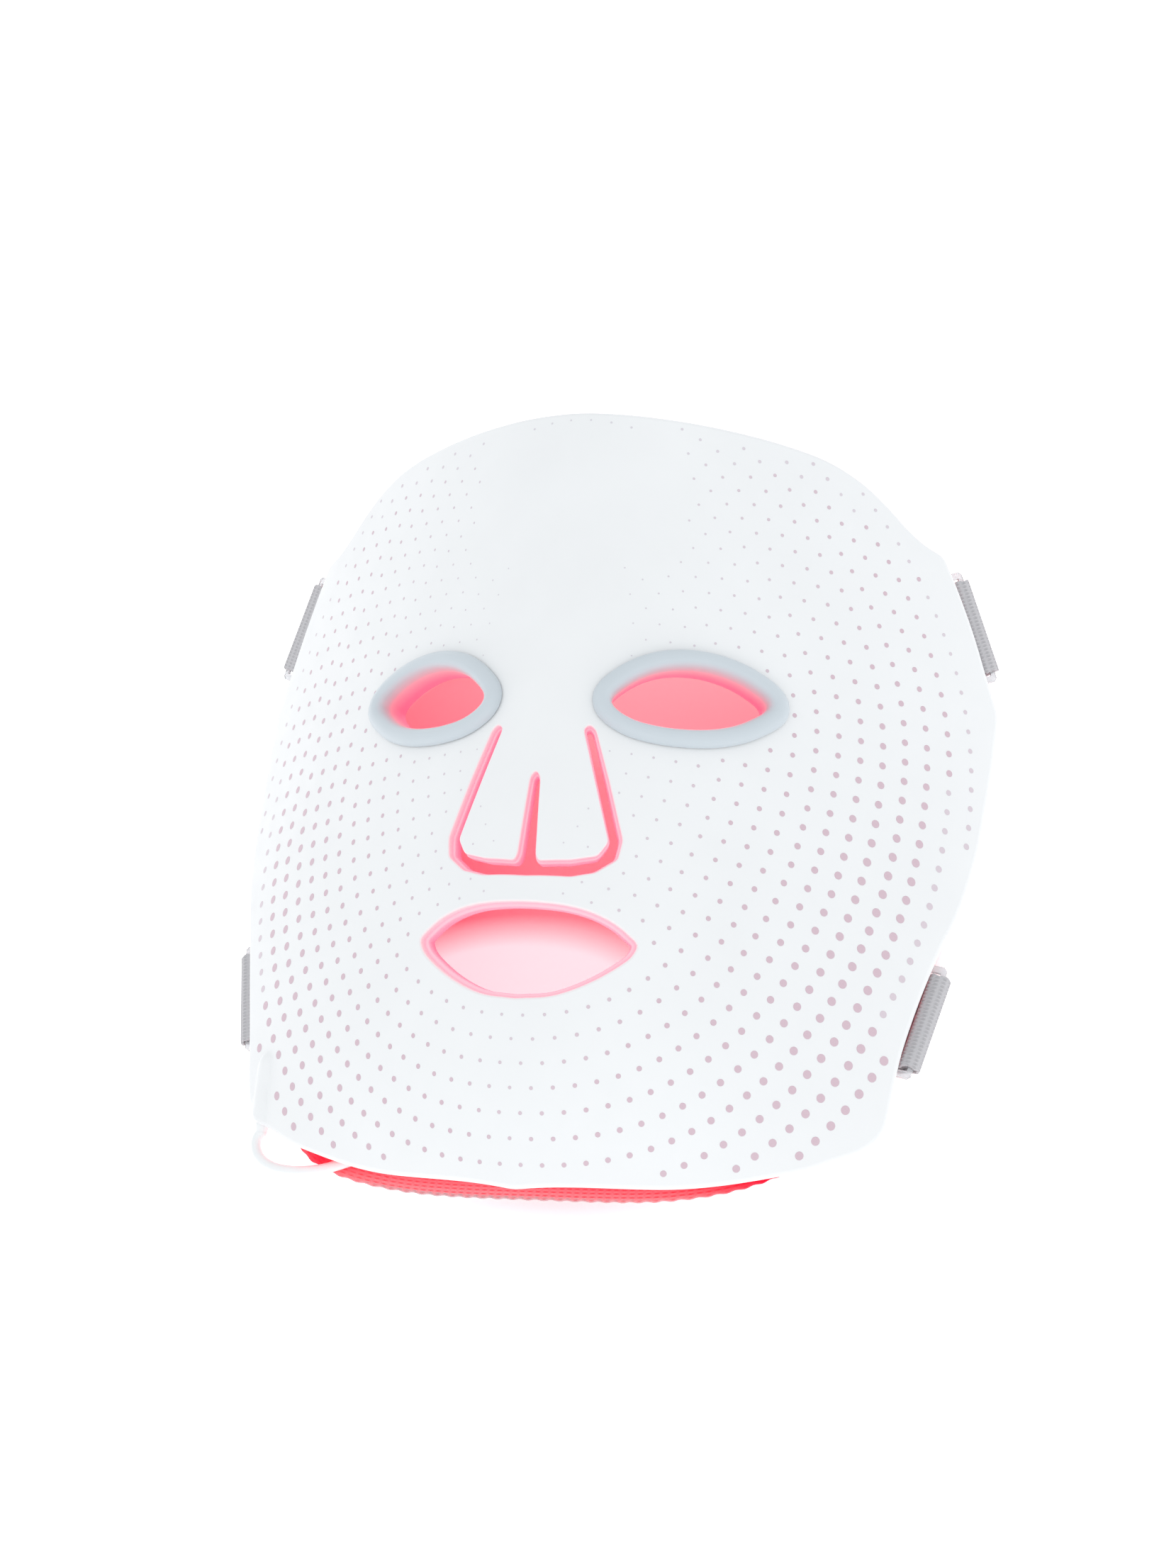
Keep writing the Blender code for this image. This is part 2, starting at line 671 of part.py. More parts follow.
# Strap paths from each anchor to the middle: plan place, height of the underside, width direction
UPPER_RIGHT = (((86.0, 66.2, 5.9), None), ((81.0, 67.8, 3.9), (0.0, -0.97, -0.25)),
               ((74.5, 70.2, 1.7), (-0.25, -0.96, -0.1)),
               ((67.0, 73.2, 0.3), (-0.35, -0.94)), ((59.0, 76.5, 0.0), (-0.36, -0.93)),
               ((50.0, 78.6, 0.0), (-0.22, -0.975)), ((38.0, 79.6, 0.0), (-0.08, -1.0)),
               ((20.0, 79.8, 0.0), (-0.02, -1.0)), ((0.0, 79.8, 0.0), (0.0, -1.0)))
LOWER_RIGHT = (((80.3, -41.0, 0.0), None), ((74.0, -46.5, 0.0), (0.0, -1.0)),
               ((66.5, -56.0, 0.0), (0.35, -0.94)), ((51.0, -68.6, 0.0), (0.4, -0.92)),
               ((30.0, -75.0, 0.0), (0.12, -0.99)), ((0.0, -76.6, 0.0), (0.0, -1.0)))
LOWER_LEFT = (((80.3, -41.5, 0.0), None), ((73.5, -48.0, 0.0), (0.0, -1.0)),
              ((64.5, -60.0, 0.0), (0.42, -0.91)), ((56.0, -71.5, 0.0), (0.45, -0.89)),
              ((35.0, -76.6, 0.0), (0.1, -0.99)), ((0.0, -76.6, 0.0), (0.0, -1.0)))


def strap_half(anchor, path, level):
    """Stations from the fastened end, through the slot, round the bar and in to the middle."""
    stations = [(anchor.at(out, up), anchor.along) for out, up in LOOP]
    inner = fastened_end(anchor, path, level)
    middle = [(Vector(place) * anchor.flip, direction_of(anchor, direction))
              for place, direction in path]
    return inner + stations + middle


def direction_of(anchor, direction):
    if direction is None:
        return anchor.along
    return Vector((*direction, 0.0)[:3]).normalized() * anchor.flip


def fastened_end(anchor, path, level):
    """The short stretch inside the slot, up to where the loose tab begins."""
    if level == "upper":
        first = Vector((84.2, 66.8, 8.9))
        second = Vector((87.6, 65.9, 9.6))
    else:
        first = Vector(path[1][0]) + Vector((0, 0, 2.1))
        second = Vector(path[0][0]) + Vector((0.6, 0.4, 2.1))
    return [(first * anchor.flip, anchor.along), (second * anchor.flip, anchor.along)]


TAB_PATHS = {
    "upper": (((82.6, 67.2, 8.55), None), ((76.5, 69.5, 5.6), (-0.15, -0.97, -0.12)),
              ((69.0, 72.4, 3.7), (-0.32, -0.94, -0.02)), ((60.0, 76.1, 3.0), (-0.38, -0.92)),
              ((52.0, 78.9, 2.9), (-0.34, -0.94)), ((47.0, 80.3, 2.9), (-0.28, -0.96))),
    "lower_right": (((72.4, -47.8, 2.1), None), ((69.7, -51.0, 2.5), (-0.02, -1.0)),
                    ((65.8, -56.0, 3.05), (0.2, -0.98)), ((60.5, -61.6, 3.15), (0.38, -0.92)),
                    ((54.5, -66.4, 3.15), (0.42, -0.91))),
    "lower_left": (((72.1, -49.3, 2.1), None), ((69.7, -52.4, 2.5), (0.0, -1.0)),
                   ((65.6, -57.8, 3.05), (0.12, -0.99)), ((61.8, -62.8, 3.15), (0.34, -0.94)),
                   ((59.0, -67.4, 3.15), (0.46, -0.89))),
}


def make_tab(anchor, path, name):
    """The loose end of a strap, and the hook patch sewn under it."""
    stations = [(Vector(place) * anchor.flip, direction_of(anchor, direction))
                for place, direction in path]
    hinge = stations[0][0] * MM
    tab = ribbon(stations, "tab_" + name, STRAP_GREY, STRAP_WIDTH, STRAP, 12, -anchor.side)
    drop = Vector((0, 0, -STRAP - 0.25))
    patch = [(place + drop, direction) for place, direction in stations[2:]]
    hooks = ribbon(patch, "hook_patch_" + name, HOOK_WHITE, STRAP_WIDTH - 3.0, PATCH, 6,
                   -anchor.side)
    for item in (tab, hooks):
        set_origin(item, hinge)


def set_origin(item, pivot):
    """Puts an object's origin on its joint, without moving the piece."""
    item.data.transform(Matrix.Translation(-pivot) @ item.matrix_world)
    item.matrix_world = Matrix.Translation(pivot)


def make_straps(outline):
    for level in ("upper", "lower"):
        right = Anchor(level, 1, outline)
        left = Anchor(level, -1, outline)
        right_path = UPPER_RIGHT if level == "upper" else LOWER_RIGHT
        left_path = UPPER_RIGHT if level == "upper" else LOWER_LEFT
        from_right = strap_half(right, right_path, level)
        from_left = strap_half(left, left_path, level)
        stations = from_right + from_left[-2::-1]
        ribbon(stations, level + "_strap", STRAP_GREY, STRAP_WIDTH, STRAP, 2 * len(stations), 1)
        for anchor, side in ((right, "right"), (left, "left")):
            make_anchor(anchor, f"strap_anchor_{level}_{side}")
            tab_path = TAB_PATHS[level if level == "upper" else f"{level}_{side}"]
            make_tab(anchor, tab_path, f"{level}_{side}")


# --- lead, coil and plug ------------------------------------------------------------------------

def tube(points, name, look, radius, steps):
    """A round cord on a smooth curve through its route's points."""
    path = smooth(points, steps)
    curve = bpy.data.curves.new(name, "CURVE")
    curve.dimensions = "3D"
    curve.bevel_depth = radius * MM
    curve.bevel_resolution = 2
    curve.use_fill_caps = True
    spline = curve.splines.new("POLY")
    spline.points.add(len(path) - 1)
    for point, place in zip(spline.points, path):
        point.co = (*(place * MM), 1.0)
    item = bpy.data.objects.new(name, curve)
    CUTTERS.objects.link(item)
    add(evaluated(item), name, look)


def make_coil():
    """The wound lead as one turned ring, and the band that holds it."""
    half = COIL_SECTION / 2
    corner = 1.8
    shape = bmesh.new()
    section = [(half, half - corner), (half, corner - half), (half - corner, -half),
               (corner - half, -half), (-half, corner - half), (-half, half - corner),
               (corner - half, half), (half - corner, half)]
    verts = [shape.verts.new(Vector((COIL_MID_RADIUS + out, 0, up)) * MM) for out, up in section]
    for here, there in zip(verts, verts[1:] + verts[:1]):
        shape.edges.new((here, there))
    mesh = bpy.data.meshes.new("coil")
    shape.to_mesh(mesh)
    shape.free()
    item = helper_object(mesh, "coil")
    screw = item.modifiers.new("turn", "SCREW")
    screw.steps = 32
    screw.render_steps = 32
    screw.use_merge_vertices = True
    screw.merge_threshold = 1e-5
    item.location = Vector((*COIL_CENTRE, COIL_BASE + half)) * MM
    solid = evaluated(item)
    fixed = bmesh.new()
    fixed.from_mesh(solid)
    bmesh.ops.recalc_face_normals(fixed, faces=fixed.faces)
    fixed.to_mesh(solid)
    fixed.free()
    add(solid, "lead_coil", LEAD_WHITE)
    inner = COIL_SECTION + 2 * TIE_ROOM
    outer = inner + 2 * TIE
    band = boolean(box_mesh((outer, TIE_WIDTH, outer)), box_mesh((inner, 2 * TIE_WIDTH, inner)),
                   "DIFFERENCE")
    at = Matrix.Translation(Vector((COIL_CENTRE[0] + COIL_MID_RADIUS * math.cos(TIE_ANGLE),
                                    COIL_CENTRE[1] + COIL_MID_RADIUS * math.sin(TIE_ANGLE),
                                    COIL_BASE + half)) * MM)
    add(band, "coil_tie", TIE_BLACK, at @ Matrix.Rotation(TIE_ANGLE, 4, "Z"))


def make_plug():
    """A small moulded grip, its metal shell and the tongue inside."""
    x, y, z = PLUG_AT
    width, length, depth = PLUG_GRIP
    at = Matrix.Translation(Vector((x, y + length / 2, z)) * MM)
    add(box_mesh(PLUG_GRIP, bevel=1.2), "plug_grip", LEAD_WHITE, at)
    shell_width, shell_length, shell_depth = PLUG_SHELL
    shell_y = y + length + GAP + shell_length / 2
    at = Matrix.Translation(Vector((x, shell_y, z)) * MM)
    hollow_size = (shell_width - 2 * PLUG_WALL, shell_length - 1.0, shell_depth - 2 * PLUG_WALL)
    hollow = box_mesh(hollow_size, Matrix.Translation((0, 0.9 * MM, 0)))
    add(boolean(box_mesh(PLUG_SHELL), hollow, "DIFFERENCE"), "plug_shell", STEEL, at)
    tongue = (shell_width - 2.6, shell_length - 2.2, 0.7)
    at = Matrix.Translation(Vector((x, shell_y + 0.6, z)) * MM)
    add(box_mesh(tongue), "plug_tongue", PLASTIC_BLACK, at)


def make_lead(exit_point, along):
    start = exit_point + along * LEAD_GAP
    tube([tuple(start), tuple(start + along * 0.8), *LEAD_ROUTE, LEAD_JOIN], "lead", LEAD_WHITE,
         LEAD_RADIUS, 3)
    tube(TAIL_ROUTE, "lead_tail", LEAD_WHITE, LEAD_RADIUS, 2)
    make_coil()
    make_plug()


def centre_on_shell():
    """Slides every piece along Y until the shell's ends are equally far from the origin."""
    ends = [vertex.co.y for vertex in bpy.data.objects["outer_shell"].data.vertices]
    shift = Matrix.Translation((0, -(min(ends) + max(ends)) / 2, 0))
    for item in PARTS.objects:
        item.matrix_world = shift @ item.matrix_world


# --- build --------------------------------------------------------------------------------------

clear_scene()
PARTS = new_collection(COLLECTION, bpy.context.scene.collection)
CUTTERS = new_collection("cutters", bpy.context.scene.collection)

SILICONE = material("white_silicone", (0.86, 0.88, 0.90), 0.45)
CLEAR_SILICONE = material("clear_silicone", (0.95, 0.80, 0.82), 0.3, alpha=0.6)
SURROUND_GREY = material("surround_silicone", (0.60, 0.65, 0.68), 0.45)
POLYIMIDE = material("polyimide", (0.72, 0.38, 0.10), 0.35)
LED_LENS = material("led_lens", (1.0, 0.25, 0.25), 0.2)
BOARD_GREEN = material("board", (0.05, 0.30, 0.15), 0.45)
CLEAR_PLASTIC = material("clear_plastic", (0.88, 0.90, 0.90), 0.15, alpha=0.5)
STRAP_GREY = material("strap_elastic", (0.58, 0.57, 0.57), 0.85)
HOOK_WHITE = material("hook_tape", (0.75, 0.75, 0.75), 0.8)
LEAD_WHITE = material("lead_white", (0.90, 0.92, 0.92), 0.4)
TIE_BLACK = material("tie", (0.05, 0.05, 0.05), 0.6)
STEEL = material("steel", (0.75, 0.76, 0.78), 0.25, metallic=1.0)
PLASTIC_BLACK = material("black_plastic", (0.03, 0.03, 0.03), 0.4)

OUTLINE, EYE_LOOP, NOSE, MOUTH, BLOCK_LOOP = make_outlines()
make_outer_shell(OUTLINE, EYE_LOOP, NOSE, MOUTH, BLOCK_LOOP)
make_inner_liner(OUTLINE, EYE_LOOP, BLOCK_LOOP)
CIRCUIT_LOOPS = circuit_outlines(OUTLINE, EYE_LOOP, BLOCK_LOOP)
make_flex_circuit(CIRCUIT_LOOPS)
make_circuit_parts(CIRCUIT_LOOPS)
make_eye_surround(EYE_LOOP, 1, "eye_surround_right")
make_eye_surround(EYE_LOOP, -1, "eye_surround_left")
make_straps(OUTLINE)
make_lead(*make_entry())
centre_on_shell()
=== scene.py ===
"""Looks of the LED face mask: fine skin with its dot print, lit liner, straps, lead and light."""

import math

import bmesh
import bpy
import numpy as np
from mathutils import Matrix, Vector, geometry


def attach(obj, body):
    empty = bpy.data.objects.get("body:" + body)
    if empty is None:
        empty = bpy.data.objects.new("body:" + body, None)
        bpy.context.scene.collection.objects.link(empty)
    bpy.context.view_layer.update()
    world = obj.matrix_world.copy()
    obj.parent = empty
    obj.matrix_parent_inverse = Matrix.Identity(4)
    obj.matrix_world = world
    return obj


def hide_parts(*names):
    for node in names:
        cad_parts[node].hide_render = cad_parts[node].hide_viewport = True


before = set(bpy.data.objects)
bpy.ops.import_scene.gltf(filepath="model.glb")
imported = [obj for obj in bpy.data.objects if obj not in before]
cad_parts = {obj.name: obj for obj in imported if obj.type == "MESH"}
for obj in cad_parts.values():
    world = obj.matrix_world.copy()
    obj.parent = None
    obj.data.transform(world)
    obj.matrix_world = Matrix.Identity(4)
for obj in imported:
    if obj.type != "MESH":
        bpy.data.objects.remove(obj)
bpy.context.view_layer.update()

# Sizes in millimetres, as in the CAD, from the middle of the design
MM = 0.001
SHIFT_Y = 0.8259                 # the part is centred on the shell along Y
WALL = 4.3                       # skin and liner together
SKIN = 1.5
RIM_WIDTH = 3.0
GAP = 0.3
SLEEVE = 1.2                     # an eye surround's wall
EYE_ISLAND = SLEEVE + GAP + 1.5  # from an eye hole out to the liner's edge

# Camera, in world metres
CAMERA_AT = Vector((0.2001, -0.30749, 0.58726))
CAMERA_AIM = Vector((0.00619, 0.00464, 0.04))
CAMERA_ROLL = math.radians(-26.695)
LENS = 62.056

# --- design outlines, as in the CAD -------------------------------------------------------------
OUTLINE_RUNS = (
    ((0, 89.2), (8.0, 89.4), (18.0, 90.3), (33.0, 92.2), (46.0, 93.5), (57.0, 93.6), (65.0, 91.4),
     (71.0, 87.9), (76.3, 83.8), (80.6, 81.6), (84.3, 81.2)),
    ((84.3, 81.2), (88.0, 73.7), (92.2, 63.8), (95.4, 54.7), (98.9, 45.0)),
    ((98.9, 45.0), (98.6, 32.0), (97.8, 18.0), (96.5, 3.0), (93.8, -12.0), (90.6, -23.0),
     (86.8, -38.0), (84.0, -51.0), (82.6, -61.0), (81.2, -68.7), (77.5, -73.6), (72.0, -77.3),
     (60.4, -83.4), (36.0, -91.3), (0, -96.0)),
)
EYE = ((15.6, 14.7), (19.2, 20.0), (25.0, 24.6), (31.5, 27.3), (38.0, 28.2), (44.6, 27.2),
       (49.6, 23.9), (45.0, 18.0), (39.4, 14.2), (33.0, 11.9), (26.0, 10.8), (19.8, 11.4))
NOSE_SLIT = ((0, -4.2), (1.2, -5.8), (2.2, -24.6), (2.9, -26.2), (10.6, -25.3), (16.6, -23.4),
             (18.7, -19.6), (10.2, 7.0), (11.6, 8.2), (13.0, 7.0), (17.3, -5.0), (21.7, -18.5),
             (21.0, -23.4), (16.4, -27.4), (10.9, -29.2), (0, -29.8))
MOUTH_RUNS = (
    ((0, -35.8), (12.7, -36.1), (21.0, -38.0), (27.2, -41.8)),
    ((27.2, -41.8), (25.0, -45.8), (17.4, -52.0), (8.8, -56.2), (0, -57.4)),
)
BLOCK = ((0, 11.2), (10.5, 11.0), (14.4, 8.8), (19.6, -5.0), (24.4, -19.0), (25.4, -31.0),
         (31.2, -41.8), (28.7, -48.5), (19.5, -56.0), (10.0, -59.8), (0, -61.0))
ENTRY_START = (-75.4, -60.0)     # the lead's gland, inside the skin
ENTRY_END = (-77.0, -74.2)


# --- plan helpers -------------------------------------------------------------------------------

def smooth(points, steps):
    """A curve through all the points, with this many steps between each two."""
    nodes = np.array(points, dtype=float)
    padded = np.vstack([2 * nodes[0] - nodes[1], nodes, 2 * nodes[-1] - nodes[-2]])
    curve = []
    for i in range(len(nodes) - 1):
        before, start, end, after = padded[i:i + 4]
        for t in np.arange(steps) / steps:
            curve.append(0.5 * (2 * start + (end - before) * t
                                + (2 * before - 5 * start + 4 * end - after) * t ** 2
                                + (3 * start - before - 3 * end + after) * t ** 3))
    curve.append(nodes[-1])
    return np.array(curve)


def mirrored_loop(half):
    half = np.array(half, dtype=float)
    return np.vstack([half, half[-2:0:-1] * (-1, 1)])


def from_runs(runs, steps):
    parts = [smooth(run, steps)[:-1] for run in runs]
    return np.vstack(parts + [np.array([runs[-1][-1]], dtype=float)])


def closed_smooth(points, steps):
    count = len(points)
    curve = smooth([points[-1], *points, points[0], points[1]], steps)
    return curve[steps:steps + count * steps]


def closed(loop):
    return np.vstack([loop, loop[:1]])


def travel(path):
    """Distance travelled along a path at each of its points."""
    steps = np.linalg.norm(np.diff(path, axis=0), axis=1)
    return np.concatenate([[0], np.cumsum(steps)])


def sampled(path, travelled, at):
    """Places on a path at these travelled distances."""
    return np.stack([np.interp(at, travelled, column) for column in path.T], axis=1)


def resampled(loop, spacing):
    """A closed outline with evenly spaced points."""
    travelled = travel(closed(loop))
    count = max(8, round(travelled[-1] / spacing))
    return sampled(closed(loop), travelled, np.arange(count) * travelled[-1] / count)


def softened(loop, rounds):
    """Rounds the corners of an evenly spaced outline."""
    for _ in range(rounds):
        loop = 0.25 * np.roll(loop, 1, axis=0) + 0.5 * loop + 0.25 * np.roll(loop, -1, axis=0)
    return loop


def outward_of(loop):
    ahead, behind = np.roll(loop, -1, axis=0), np.roll(loop, 1, axis=0)
    along = ahead - behind
    along /= np.linalg.norm(along, axis=1)[:, None]
    area = np.sum(loop[:, 0] * ahead[:, 1] - ahead[:, 0] * loop[:, 1])
    return np.stack([along[:, 1], -along[:, 0]], axis=1) * math.copysign(1.0, area)


def offset_loop(loop, distance):
    """Moves a closed outline outward; points that fold over are pulled back into line."""
    moved = loop + outward_of(loop) * distance
    for _ in range(6):
        tight = distance_to(moved, loop) < abs(distance) * 0.97 - 1e-6
        if not tight.any():
            break
        pushed = 0.5 * (np.roll(moved, 1, axis=0) + np.roll(moved, -1, axis=0))
        moved[tight] = pushed[tight]
    return moved


def distance_to(points, loop):
    """Distance from each point to a closed outline."""
    points = np.atleast_2d(points)
    side = np.roll(loop, -1, axis=0) - loop
    square = np.maximum(np.sum(side * side, axis=1), 1e-12)
    best = np.full(len(points), 1e9)
    for start in range(0, len(points), 512):
        part = points[start:start + 512]
        gap = part[:, None, :] - loop[None]
        along = np.clip(np.sum(gap * side[None], axis=2) / square, 0, 1)
        near = gap - side[None] * along[:, :, None]
        best[start:start + 512] = np.sqrt(np.min(np.sum(near * near, axis=2), axis=1))
    return best


def inside(points, loop):
    """Whether each point is inside a closed outline."""
    points = np.atleast_2d(points)
    ahead = np.roll(loop, -1, axis=0)
    x, y = points[:, :1], points[:, 1:]
    crossing = (loop[:, 1] > y) != (ahead[:, 1] > y)
    rise = np.where(np.abs(ahead[:, 1] - loop[:, 1]) < 1e-12, 1e-12, ahead[:, 1] - loop[:, 1])
    at = loop[:, 0] + (y - loop[:, 1]) / rise * (ahead[:, 0] - loop[:, 0])
    return np.sum(crossing & (at > x), axis=1) % 2 == 1


def between(points, loops):
    """Whether each point is inside the first outline and outside the others."""
    kept = inside(points, loops[0])
    for loop in loops[1:]:
        kept &= ~inside(points, loop)
    return kept


# --- the curved surface -------------------------------------------------------------------------

def height(x, y):
    """The outer surface's height over a plan point, fitted to a face with a raised nose and brow."""
    along = y / 100
    rise = 16.79 * along - 5.92 * along ** 2 + 12.31 * along ** 3 - 5.76 * along ** 4
    fall = 0.691 + 0.122 * along - 0.026 * along ** 2
    return 61.4 + rise - fall * (np.hypot(x, 26.3) - 26.3) - 8.9 * np.abs(x / 100) ** 5


def normals(plan):
    """The outer surface's upward normals at plan points."""
    x, y = plan[:, 0], plan[:, 1]
    step = 0.01
    dx = (height(x + step, y) - height(x - step, y)) / (2 * step)
    dy = (height(x, y + step) - height(x, y - step)) / (2 * step)
    made = np.stack([-dx, -dy, np.ones(len(plan))], axis=1)
    return made / np.linalg.norm(made, axis=1)[:, None]


def placed(plan, depth):
    """World places of plan points, each this far above the outer surface."""
    plan = np.atleast_2d(np.array(plan, dtype=float))
    base = np.column_stack([plan, height(plan[:, 0], plan[:, 1])])
    lifted = base + normals(plan) * np.broadcast_to(depth, len(plan))[:, None]
    return (lifted + (0, SHIFT_Y, 0)) * MM


# --- materials ----------------------------------------------------------------------------------

class Look:
    """A Principled material and short ways to add nodes to it."""

    def __init__(self, name, colour, roughness, **values):
        self.made = bpy.data.materials.new(name)
        self.made.use_nodes = True
        self.nodes = self.made.node_tree.nodes
        self.links = self.made.node_tree.links
        self.shader = self.nodes["Principled BSDF"]
        self.set("Base Color", (*colour, 1.0))
        self.set("Roughness", roughness)
        for key, value in values.items():
            self.set(key.replace("_", " "), value)

    def set(self, socket, value):
        self.shader.inputs[socket].default_value = value

    def node(self, kind, **values):
        made = self.nodes.new(kind)
        for key, value in values.items():
            if key in made.inputs:
                made.inputs[key].default_value = value
            else:
                setattr(made, key, value)
        return made

    def link(self, start, end):
        self.links.new(start, end)

    def coords(self, scale=(1, 1, 1)):
        place = self.node("ShaderNodeTexCoord")
        mapping = self.node("ShaderNodeMapping")
        mapping.inputs["Scale"].default_value = scale
        self.link(place.outputs["Object"], mapping.inputs["Vector"])
        return mapping.outputs["Vector"]

    def noise(self, scale, detail=4.0):
        made = self.node("ShaderNodeTexNoise", Scale=scale, Detail=detail, Roughness=0.6)
        self.link(self.coords(), made.inputs["Vector"])
        return made.outputs["Fac"]

    def attribute(self, name):
        return self.node("ShaderNodeAttribute", attribute_name=name).outputs

    def sums(self, operation, first, second=None):
        """A Math node on one output, and on a second output or a number."""
        made = self.node("ShaderNodeMath", operation=operation)
        self.link(first, made.inputs[0])
        if isinstance(second, float):
            made.inputs[1].default_value = second
        elif second is not None:
            self.link(second, made.inputs[1])
        return made.outputs[0]

    def ramp(self, factor, low, high, start=0.3, end=0.7):
        made = self.node("ShaderNodeMapRange")
        made.inputs["From Min"].default_value = start
        made.inputs["From Max"].default_value = end
        made.inputs["To Min"].default_value = low
        made.inputs["To Max"].default_value = high
        self.link(factor, made.inputs["Value"])
        return made.outputs["Result"]

    def mix(self, factor, first, second):
        made = self.node("ShaderNodeMix", data_type="RGBA")
        for socket, value in ((made.inputs[6], first), (made.inputs[7], second)):
            if isinstance(value, tuple):
                socket.default_value = (*value, 1.0)
            else:
                self.link(value, socket)
        self.link(factor, made.inputs[0])
        return made.outputs[2]

    def bump(self, factor, distance, strength=1.0, below=None):
        made = self.node("ShaderNodeBump", Distance=distance, Strength=strength)
        self.link(factor, made.inputs["Height"])
        if below is not None:
            self.link(below, made.inputs["Normal"])
        self.link(made.outputs["Normal"], self.shader.inputs["Normal"])
        return made.outputs["Normal"]

    def to(self, socket, output):
        self.link(output, self.shader.inputs[socket])


def rgb(red, green, blue):
    """Linear colour from 8-bit display values."""
    return tuple((c / 255 / 12.92) if c <= 10 else ((c / 255 + 0.055) / 1.055) ** 2.4
                 for c in (red, green, blue))


def shaded(colour, share):
    return tuple(min(1, c * share) for c in colour)


EDGE_GLOW = 0.62               # light that thin silicone edges let through
LINER_LIGHT = (0.55, 1.3)      # between the LEDs, and over them
LENS_LIGHT = (1.6, 6.0)        # at a window's rim, and in its middle
CHIN_GLOW = 0.55               # light on the lower strap under the chin


def silicone(name, colour, warm, glow):
    """Matt silicone: fine bloom, faint handling marks, and light that shows through thin edges."""
    look = Look(name, colour, 0.42, Specular_IOR_Level=0.35, Sheen_Weight=0.15,
                Sheen_Roughness=0.5)
    base = look.mix(look.ramp(look.noise(38.0, 3.0), 0.0, 1.0), colour, shaded(colour, 0.975))
    lit = look.attribute("glow")["Fac"]
    look.to("Base Color", look.mix(lit, base, warm))
    look.to("Roughness", look.ramp(look.noise(150.0), 0.36, 0.5))
    look.bump(look.noise(2600.0, 2.0), 0.00002, 0.35)
    look.set("Emission Color", (*glow, 1.0))
    look.to("Emission Strength", look.sums("MULTIPLY", lit, EDGE_GLOW))
    return look.made


SHELL_LOOK = silicone("skin_silicone", rgb(233, 235, 236), rgb(255, 150, 172), rgb(255, 84, 122))
SURROUND_LOOK = silicone("surround_silicone", rgb(198, 207, 213), rgb(240, 140, 160),
                         rgb(255, 70, 110))


def liner_look():
    """Translucent inner silicone, lit red by the LEDs behind it."""
    look = Look("liner_silicone", rgb(250, 130, 150), 0.32, Coat_Weight=0.1)
    patch = look.ramp(look.noise(60.0, 2.0), 0.0, 1.0)
    look.to("Base Color", look.mix(patch, rgb(240, 52, 96), rgb(244, 96, 130)))
    look.bump(look.noise(900.0, 3.0), 0.00003, 0.5)
    near = look.attribute("glow")["Fac"]
    look.to("Emission Color", look.mix(near, rgb(255, 0, 55), rgb(255, 24, 70)))
    look.to("Emission Strength", look.ramp(near, *LINER_LIGHT, 0.0, 1.0))
    return look.made


def lens_look():
    """Clear window over an LED, brightest in the middle."""
    look = Look("led_lens", rgb(255, 90, 100), 0.12, Coat_Weight=0.4)
    middle = look.attribute("glow")["Fac"]
    look.to("Emission Color", look.mix(middle, rgb(255, 6, 56), rgb(255, 60, 104)))
    look.to("Emission Strength", look.ramp(middle, *LENS_LIGHT, 0.0, 1.0))
    look.bump(look.noise(1500.0), 0.00001, 0.3)
    return look.made


STITCH, RIB = 1.9, 0.95        # the knit's repeats along and across a strap


def elastic_look():
    """Knitted elastic: fine ribs along the band, rows of stitches across, a soft nap."""
    grey = rgb(197, 196, 199)
    look = Look("strap_elastic", grey, 0.8, Sheen_Weight=0.1, Sheen_Roughness=0.4,
                Specular_IOR_Level=0.12)
    split = look.node("ShaderNodeSeparateXYZ")
    look.link(look.attribute("band")["Vector"], split.inputs[0])
    rows, ribs = (
        look.sums("SINE", look.sums("MULTIPLY", split.outputs[axis], 2 * math.pi / repeat))
        for axis, repeat in (("X", STITCH), ("Y", RIB)))
    knit = look.sums("ADD", look.sums("MULTIPLY", rows, ribs), ribs)
    nap = look.noise(2200.0, 3.0)
    shade = look.mix(look.ramp(knit, 0.0, 1.0, -1.6, 1.6), shaded(grey, 0.86), shaded(grey, 1.06))
    shade = look.mix(look.ramp(nap, 0.0, 0.25), shade, shaded(grey, 0.75))
    lit = look.attribute("glow")["Fac"]
    look.to("Base Color", look.mix(lit, shade, rgb(255, 30, 60)))
    look.to("Roughness", look.ramp(nap, 0.72, 0.92))
    look.bump(nap, 0.00004, 0.5, below=look.bump(knit, 0.00012, 0.7))
    look.set("Emission Color", (*rgb(255, 0, 40), 1.0))
    look.to("Emission Strength", look.ramp(lit, 0.0, CHIN_GLOW, 0.0, 1.0))
    return look.made


STRAP_LOOK = elastic_look()


def simple(name, colour, roughness, scale, depth, shade, **values):
    """Moulded finish: slight colour and gloss variation and a fine surface grain."""
    look = Look(name, colour, roughness, **values)
    cloud = look.ramp(look.noise(scale / 12, 3.0), 0.0, 1.0)
    look.to("Base Color", look.mix(cloud, colour, shaded(colour, shade)))
    look.to("Roughness", look.ramp(look.noise(scale / 4), roughness * 0.85, roughness * 1.15))
    look.bump(look.noise(scale), depth, 0.5)
    return look.made


